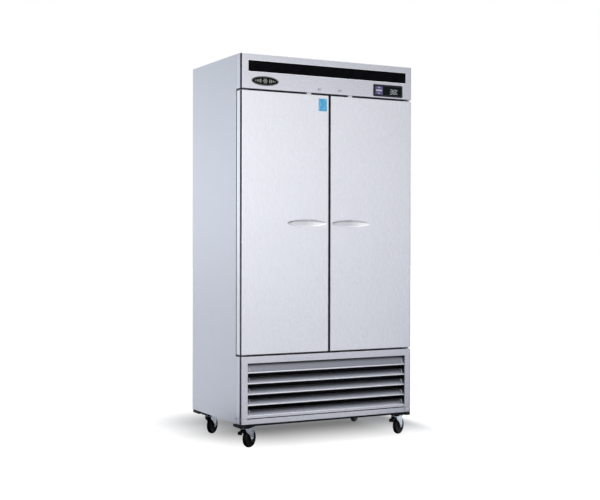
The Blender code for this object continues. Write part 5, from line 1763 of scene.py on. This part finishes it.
def make_condenser():
    """The condenser: fins between flanged end plates, tubes with return bends, and baffles beside it, all painted
    black as shade.
    """
    node = "condenser_coil"
    low, high = span(node)
    end, plate = 0.013, 0.0012
    left, right = low.x + end, high.x - end
    bm = bmesh.new()
    plates(bm, (left + 0.002, low.y, low.z), (right - 0.002, high.y, high.z), 128, 0.00025)
    new_piece("condenser_fins", bm, node, "coil_shade_black")
    bm = bmesh.new()
    for x in (left, right - plate):
        slab(bm, (x, low.y, low.z), (x + plate, high.y, high.z), 0.0010, 0.0003, "x")
    for z in (low.z, high.z - plate):
        slab(bm, (left, low.y, z), (right, high.y, z + plate), 0.0010, 0.0003, "z")
    new_piece("condenser_plates", bm, node, "coil_shade_black", replace=False)
    bm = bmesh.new()
    depths = (low.y + 0.014, high.y - 0.014)
    serpentine(bm, (left, 0, low.z), (right, 0, high.z), 9, 0.0042, depths, 0.0085)
    new_piece("condenser_tubes", bm, node, "coil_shade_black", replace=False)

    # Black plates each side of the condenser: painted shade behind the louvres.
    bm = bmesh.new()
    front, back, floor_z, roof_z = low.y - 0.0020, low.y - 0.0008, 0.137, 0.493
    for x_low, x_high in ((LEFT_X + 0.004, low.x + 0.012), (high.x - 0.012, RIGHT_X - 0.004)):
        slab(bm, (x_low, front, floor_z), (x_high, back, roof_z), 0.003, 0.0003)
        for z in (floor_z + 0.10, roof_z - 0.10):
            rib_low = (x_low + 0.02, front - 0.0030, z - 0.006)
            slab(bm, rib_low, (x_high - 0.02, front + GAP, z + 0.006), 0.003, 0.0010)
    new_piece("shade_baffles", bm, node, "dark_inside", replace=False)


MOTOR_ARM_Y = -0.1995
MOTOR_ARM_REACH = 0.1750


def make_shroud():
    """The fan's shroud: a plate with a collared hole, and a ribbed motor on a strap behind it."""
    node = "fan_shroud"
    low, high = span(node)
    centre = JOINT_AT["condenser_fan_spin"]
    collar = [(-0.0006, 0.0008), (-0.0012, 0.0030), (-0.0012, 0.0225), (0.0006, 0.0238)]
    bm = bmesh.new()
    punched(bm, (low.x, low.z), (high.x, high.z), lambda x, z, depth: Vector((x, low.y + 0.0002 + depth, z)),
            [((centre.x, centre.z), 0.1010)], collar=collar)
    new_piece("shroud_plate", bm, node, sheet=0.0016, even=False)
    bm = bmesh.new()
    strap_back = MOTOR_ARM_Y + 0.0030
    arms = [centre.x + side * MOTOR_ARM_REACH for side in SIDES]
    for x in arms:
        arm_low = (x - 0.012, low.y + 0.0020, centre.z - 0.011)
        slab(bm, arm_low, (x + 0.012, strap_back, centre.z + 0.011), 0.003, 0.0008)
    strap_low = (centre.x - 0.190, MOTOR_ARM_Y, centre.z - 0.0120)
    slab(bm, strap_low, (centre.x + 0.190, strap_back, centre.z + 0.0120), 0.004, 0.0006)
    can = [(0.0, 0.0), (0.030, 0.0), (0.0345, 0.0030)]
    for rib in range(4):
        z = 0.006 + 0.0088 * rib
        can += [(0.036, z), (0.036, z + 0.0044), (0.0335, z + 0.0052), (0.0335, z + 0.0080)]
    can += [(0.036, 0.0412), (0.033, 0.0452), (0.012, 0.0460), (0.0, 0.0460)]
    turned(bm, can, facing(Vector((centre.x, high.y, centre.z)), FORWARD), 32)
    new_piece("shroud_motor", bm, node, replace=False)
    points = in_plane((low.x + 0.012, high.x - 0.012), (low.z + 0.012, high.z - 0.012), low.y + 0.0020)
    points += [(x, strap_back, centre.z) for x in arms]
    screws("shroud_screws", node, points, BACKWARD, 0.0036, "caster_zinc")


# Turned profiles: radius, and height above the foot of each part.
SHELL = [
    (0.0, 0.205), (0.020, 0.2045), (0.045, 0.201), (0.060, 0.195),
    (0.072, 0.186), (0.080, 0.174), (0.0855, 0.158),
    (0.0862, 0.124), (0.0880, 0.1225), (0.0880, 0.1120), (0.0862, 0.1105),
    (0.0862, 0.060), (0.0835, 0.036), (0.074, 0.018), (0.050, 0.006), (0.0, 0.004),
]
GROMMET = [
    (0.0, 0.0), (0.011, 0.0), (0.0125, 0.003), (0.010, 0.006),
    (0.0125, 0.010), (0.011, 0.0117), (0.0, 0.0117),
]
FOOT_NUT = [(0.0, 0.0152), (0.009, 0.0152), (0.0105, 0.0185), (0.0, 0.0190)]


def make_compressor():
    """A welded hermetic shell on a footed plate, with its terminal box, on rubber feet."""
    node = "compressor"
    low, high = span(node)
    base = low.z + 0.012
    centre = Vector(((low.x + high.x) / 2, (low.y + high.y) / 2, base))
    shell = Matrix.Translation(centre)
    bm = bmesh.new()
    turned(bm, SHELL, shell, 48)
    slab(bm, (low.x, centre.y - 0.065, base), (high.x, centre.y + 0.065, base + 0.0030), 0.010, 0.0010, "z")
    for angle in (25, 155, 205, 335):
        spin = shell @ Matrix.Rotation(math.radians(angle), 4, "Z")
        slab(bm, (0.060, -0.012, 0.002), (0.083, 0.012, 0.030), 0.003, 0.0010, "z", spin)
    slab(bm, (-0.094, -0.026, 0.085), (-0.078, 0.026, 0.150), 0.004, 0.0015, "z", shell)
    new_piece("compressor_shell", bm, node)
    bm = bmesh.new()
    for dx in (-0.077, 0.077):
        for dy in (-0.052, 0.052):
            foot = Matrix.Translation((centre.x + dx, centre.y + dy, low.z))
            turned(bm, GROMMET, foot, 20)
            turned(bm, FOOT_NUT, foot, 20)
    new_piece("compressor_feet", bm, node, "gasket_rubber", replace=False)
    make_pipes(centre)


# The first three paths are offsets from the shell's foot; the drier and the capillary are placed directly.
DISCHARGE = [
    (-0.050, -0.062, 0.165), (-0.062, -0.090, 0.185),
    (-0.085, -0.150, 0.185), (-0.120, -0.230, 0.210),
]
SUCTION = [
    (0.030, 0.070, 0.150), (0.040, 0.105, 0.165),
    (0.040, 0.125, 0.220), (0.040, 0.125, 0.300), (0.040, 0.125, 0.345),
]
PROCESS = [(0.060, -0.050, 0.150), (0.075, -0.064, 0.165), (0.080, -0.070, 0.205)]
DRIER_AT = (0.130, -0.120, 0.245)
DRIER = [
    (0.0, 0.0), (0.0035, 0.002), (0.0035, 0.012), (0.011, 0.026),
    (0.011, 0.085), (0.0035, 0.099), (0.0035, 0.112), (0.0, 0.114),
]
CAPILLARY = [(0.130, -0.120, 0.357), (0.130, -0.110, 0.400), (0.130, 0.000, 0.440), (0.130, 0.040, 0.493)]


def make_pipes(crown):
    """Copper pipes from the compressor to the coil, the drier and the cold room."""
    coil = span("condenser_coil")[1]
    paths = (DISCHARGE, SUCTION, PROCESS)
    discharge, suction, process = ([crown + Vector(offset) for offset in path] for path in paths)
    inlet = [(coil.x + 0.012, coil.y - 0.020, coil.z - 0.030)]
    inlet += [(coil.x - 0.012, coil.y - 0.014, coil.z - 0.0155)]
    liquid = [(coil.x - 0.012, coil.y - 0.041, 0.1755), (coil.x + 0.014, coil.y - 0.036, 0.178)]
    liquid += [(0.128, -0.150, 0.205), (0.130, -0.120, 0.247)]
    bm = bmesh.new()
    for path, radius, steps in (
        (discharge + inlet, 0.0040, 10),
        (suction, 0.0064, 10),
        (process, 0.0032, 8),
        (liquid, 0.0033, 8),
        (CAPILLARY, 0.0022, 8),
    ):
        sweep(bm, curved(path), radius, steps)
    turned(bm, DRIER, Matrix.Translation(DRIER_AT), 20)
    new_piece("refrigerant_pipes", bm, "compressor", "copper", replace=False, angle=60)


def make_pan():
    """The drain pan: a moulded tray with a rolled lip."""
    node = "drain_pan"
    low, high = span(node)
    lip = [(0.0002, -0.0030), (0.0, -0.0006), (0.0006, 0.0), (0.0050, 0.0), (0.0058, -0.0008)]
    tray = [(0.0085, 0.012), (0.0100, 0.004), (0.0140, 0.0012), (0.0200, 0.0004)]
    section = [(inset, high.z + drop) for inset, drop in lip]
    section += [(inset, low.z + rise) for inset, rise in tray]
    bm = bmesh.new()
    loft(bm, stepped((low.x, low.y), (high.x, high.y), 0.020, section, 5), "z", caps=(False, True))
    new_piece("drain_tray", bm, node, sheet=0.0013, even=False)


# The louvred slots: rows and columns from a lower left corner.
SLOT_ROWS, SLOT_COLUMNS = 9, 4
FIRST_SLOT = (-0.400, 0.180)
SLOT_SIZE = (0.1480, 0.0080)
SLOT_STEP = (0.1640, 0.0280)
# A hood's section: how far it stands out, and its rise above the slot's foot. Its ends taper to nothing.
HOOD = [(0.0, 0.0165), (0.0014, 0.0145), (0.0024, 0.0110), (0.0028, 0.0060), (0.0026, 0.0012)]
HOOD_TAPERS = (0.0, 0.45, 0.8, 1.0)
# The gland's radii, and its profile from its outer face inwards.
GLAND_BORE, GLAND_BODY, GLAND_FLANGE = 0.0060, 0.0150, 0.0205
GLAND = [
    (GLAND_BORE, -0.0020), (0.0070, 0.0016), (0.0095, 0.0024), (0.0125, 0.0018), (0.0145, 0.0006),
    (GLAND_BODY, -0.0008), (GLAND_BODY, -0.0016), (GLAND_FLANGE, -0.0016), (GLAND_FLANGE, -0.0056),
    (GLAND_BODY, -0.0056), (GLAND_BODY, -0.0280), (GLAND_BORE, -0.0280),
]


def make_rear_grille():
    """The rear grille: rows of pressed, hooded louvres, edge screws and a gland for the supply lead."""
    node = "rear_grille"
    low, high = span(node)
    gland_low, gland_high = span("power_gland")
    gland = ((gland_low.x + gland_high.x) / 2, (gland_low.z + gland_high.z) / 2)
    slots = []
    for row in range(SLOT_ROWS):
        for column in range(SLOT_COLUMNS):
            x, z = FIRST_SLOT[0] + column * SLOT_STEP[0], FIRST_SLOT[1] + row * SLOT_STEP[1]
            slots.append(((x, z), (x + SLOT_SIZE[0], z + SLOT_SIZE[1])))
    bm = bmesh.new()
    punched(bm, (low.x, low.z), (high.x, high.z), lambda x, z, depth: Vector((x, high.y - depth, z)),
            [(gland, 0.0155)], slots)
    new_piece("rear_grille_sheet", bm, node, sheet=0.0010)
    bm = bmesh.new()
    for (left, foot), (right, _) in slots:
        starts = [left - 0.002 + 0.0035 * step for step in range(4)]
        ends = [right + 0.002 - 0.0035 * step for step in range(3, -1, -1)]
        rows = []
        for x, taper in zip(starts + ends, HOOD_TAPERS + HOOD_TAPERS[::-1]):
            rows.append([bm.verts.new((x, high.y + proud * taper, foot + rise)) for proud, rise in HOOD])
        skin(bm, rows)
    bmesh.ops.recalc_face_normals(bm, faces=bm.faces[:])
    new_piece("rear_grille_hoods", bm, node, replace=False, sheet=0.0007, even=False)
    xs = (low.x + 0.012, -0.20, 0.0, 0.20, high.x - 0.012)
    points = in_plane(xs, (low.z + 0.012, high.z - 0.012), high.y)
    screws("rear_grille_screws", node, points, BACKWARD, 0.0036, "caster_zinc")

    place = facing(Vector((gland[0], gland_high.y, gland[1])), BACKWARD)
    bm = bmesh.new()
    turned(bm, GLAND, place, 32)
    for rib in range(16):
        spin = place @ Matrix.Rotation(math.tau * rib / 16, 4, "Z")
        slab(bm, (0.0092, -0.0004, 0.0006), (0.0142, 0.0004, 0.0026), 0.0003, 0.0001, "z", spin, 2)
    new_piece("gland_body", bm, "power_gland")


make_camera()
make_studio()
make_floor()
for cad_node, cad_object in frame["nodes"].items():
    cad_object.data.materials.clear()
    cad_object.data.materials.append(FINISH[SLOT_OF[cad_node]])
make_sides()
make_top()
make_back()
make_fascia()
make_badge()
make_controller()
make_display()
make_outline()
make_keys()
make_locks()
for door in ("left", "right"):
    make_door(door)
    make_pull(door)
    make_door_back(door)
    make_keeper(door)
make_label()
make_hinges()
make_grille()
make_louvres()
make_base()
make_casters()
make_liner()
make_pilasters()
make_frame()
for shelf_side, shelf_level in SHELVES:
    make_shelf(f"{shelf_side}_{shelf_level}_shelf")
make_evaporator_cover()
make_evaporator_coil()
make_fan("left_evaporator_fan", 0.022)
make_fan("right_evaporator_fan", 0.022)
make_light()
make_condenser()
make_shroud()
make_fan("condenser_fan", 0.026)
make_compressor()
make_pan()
make_rear_grille()
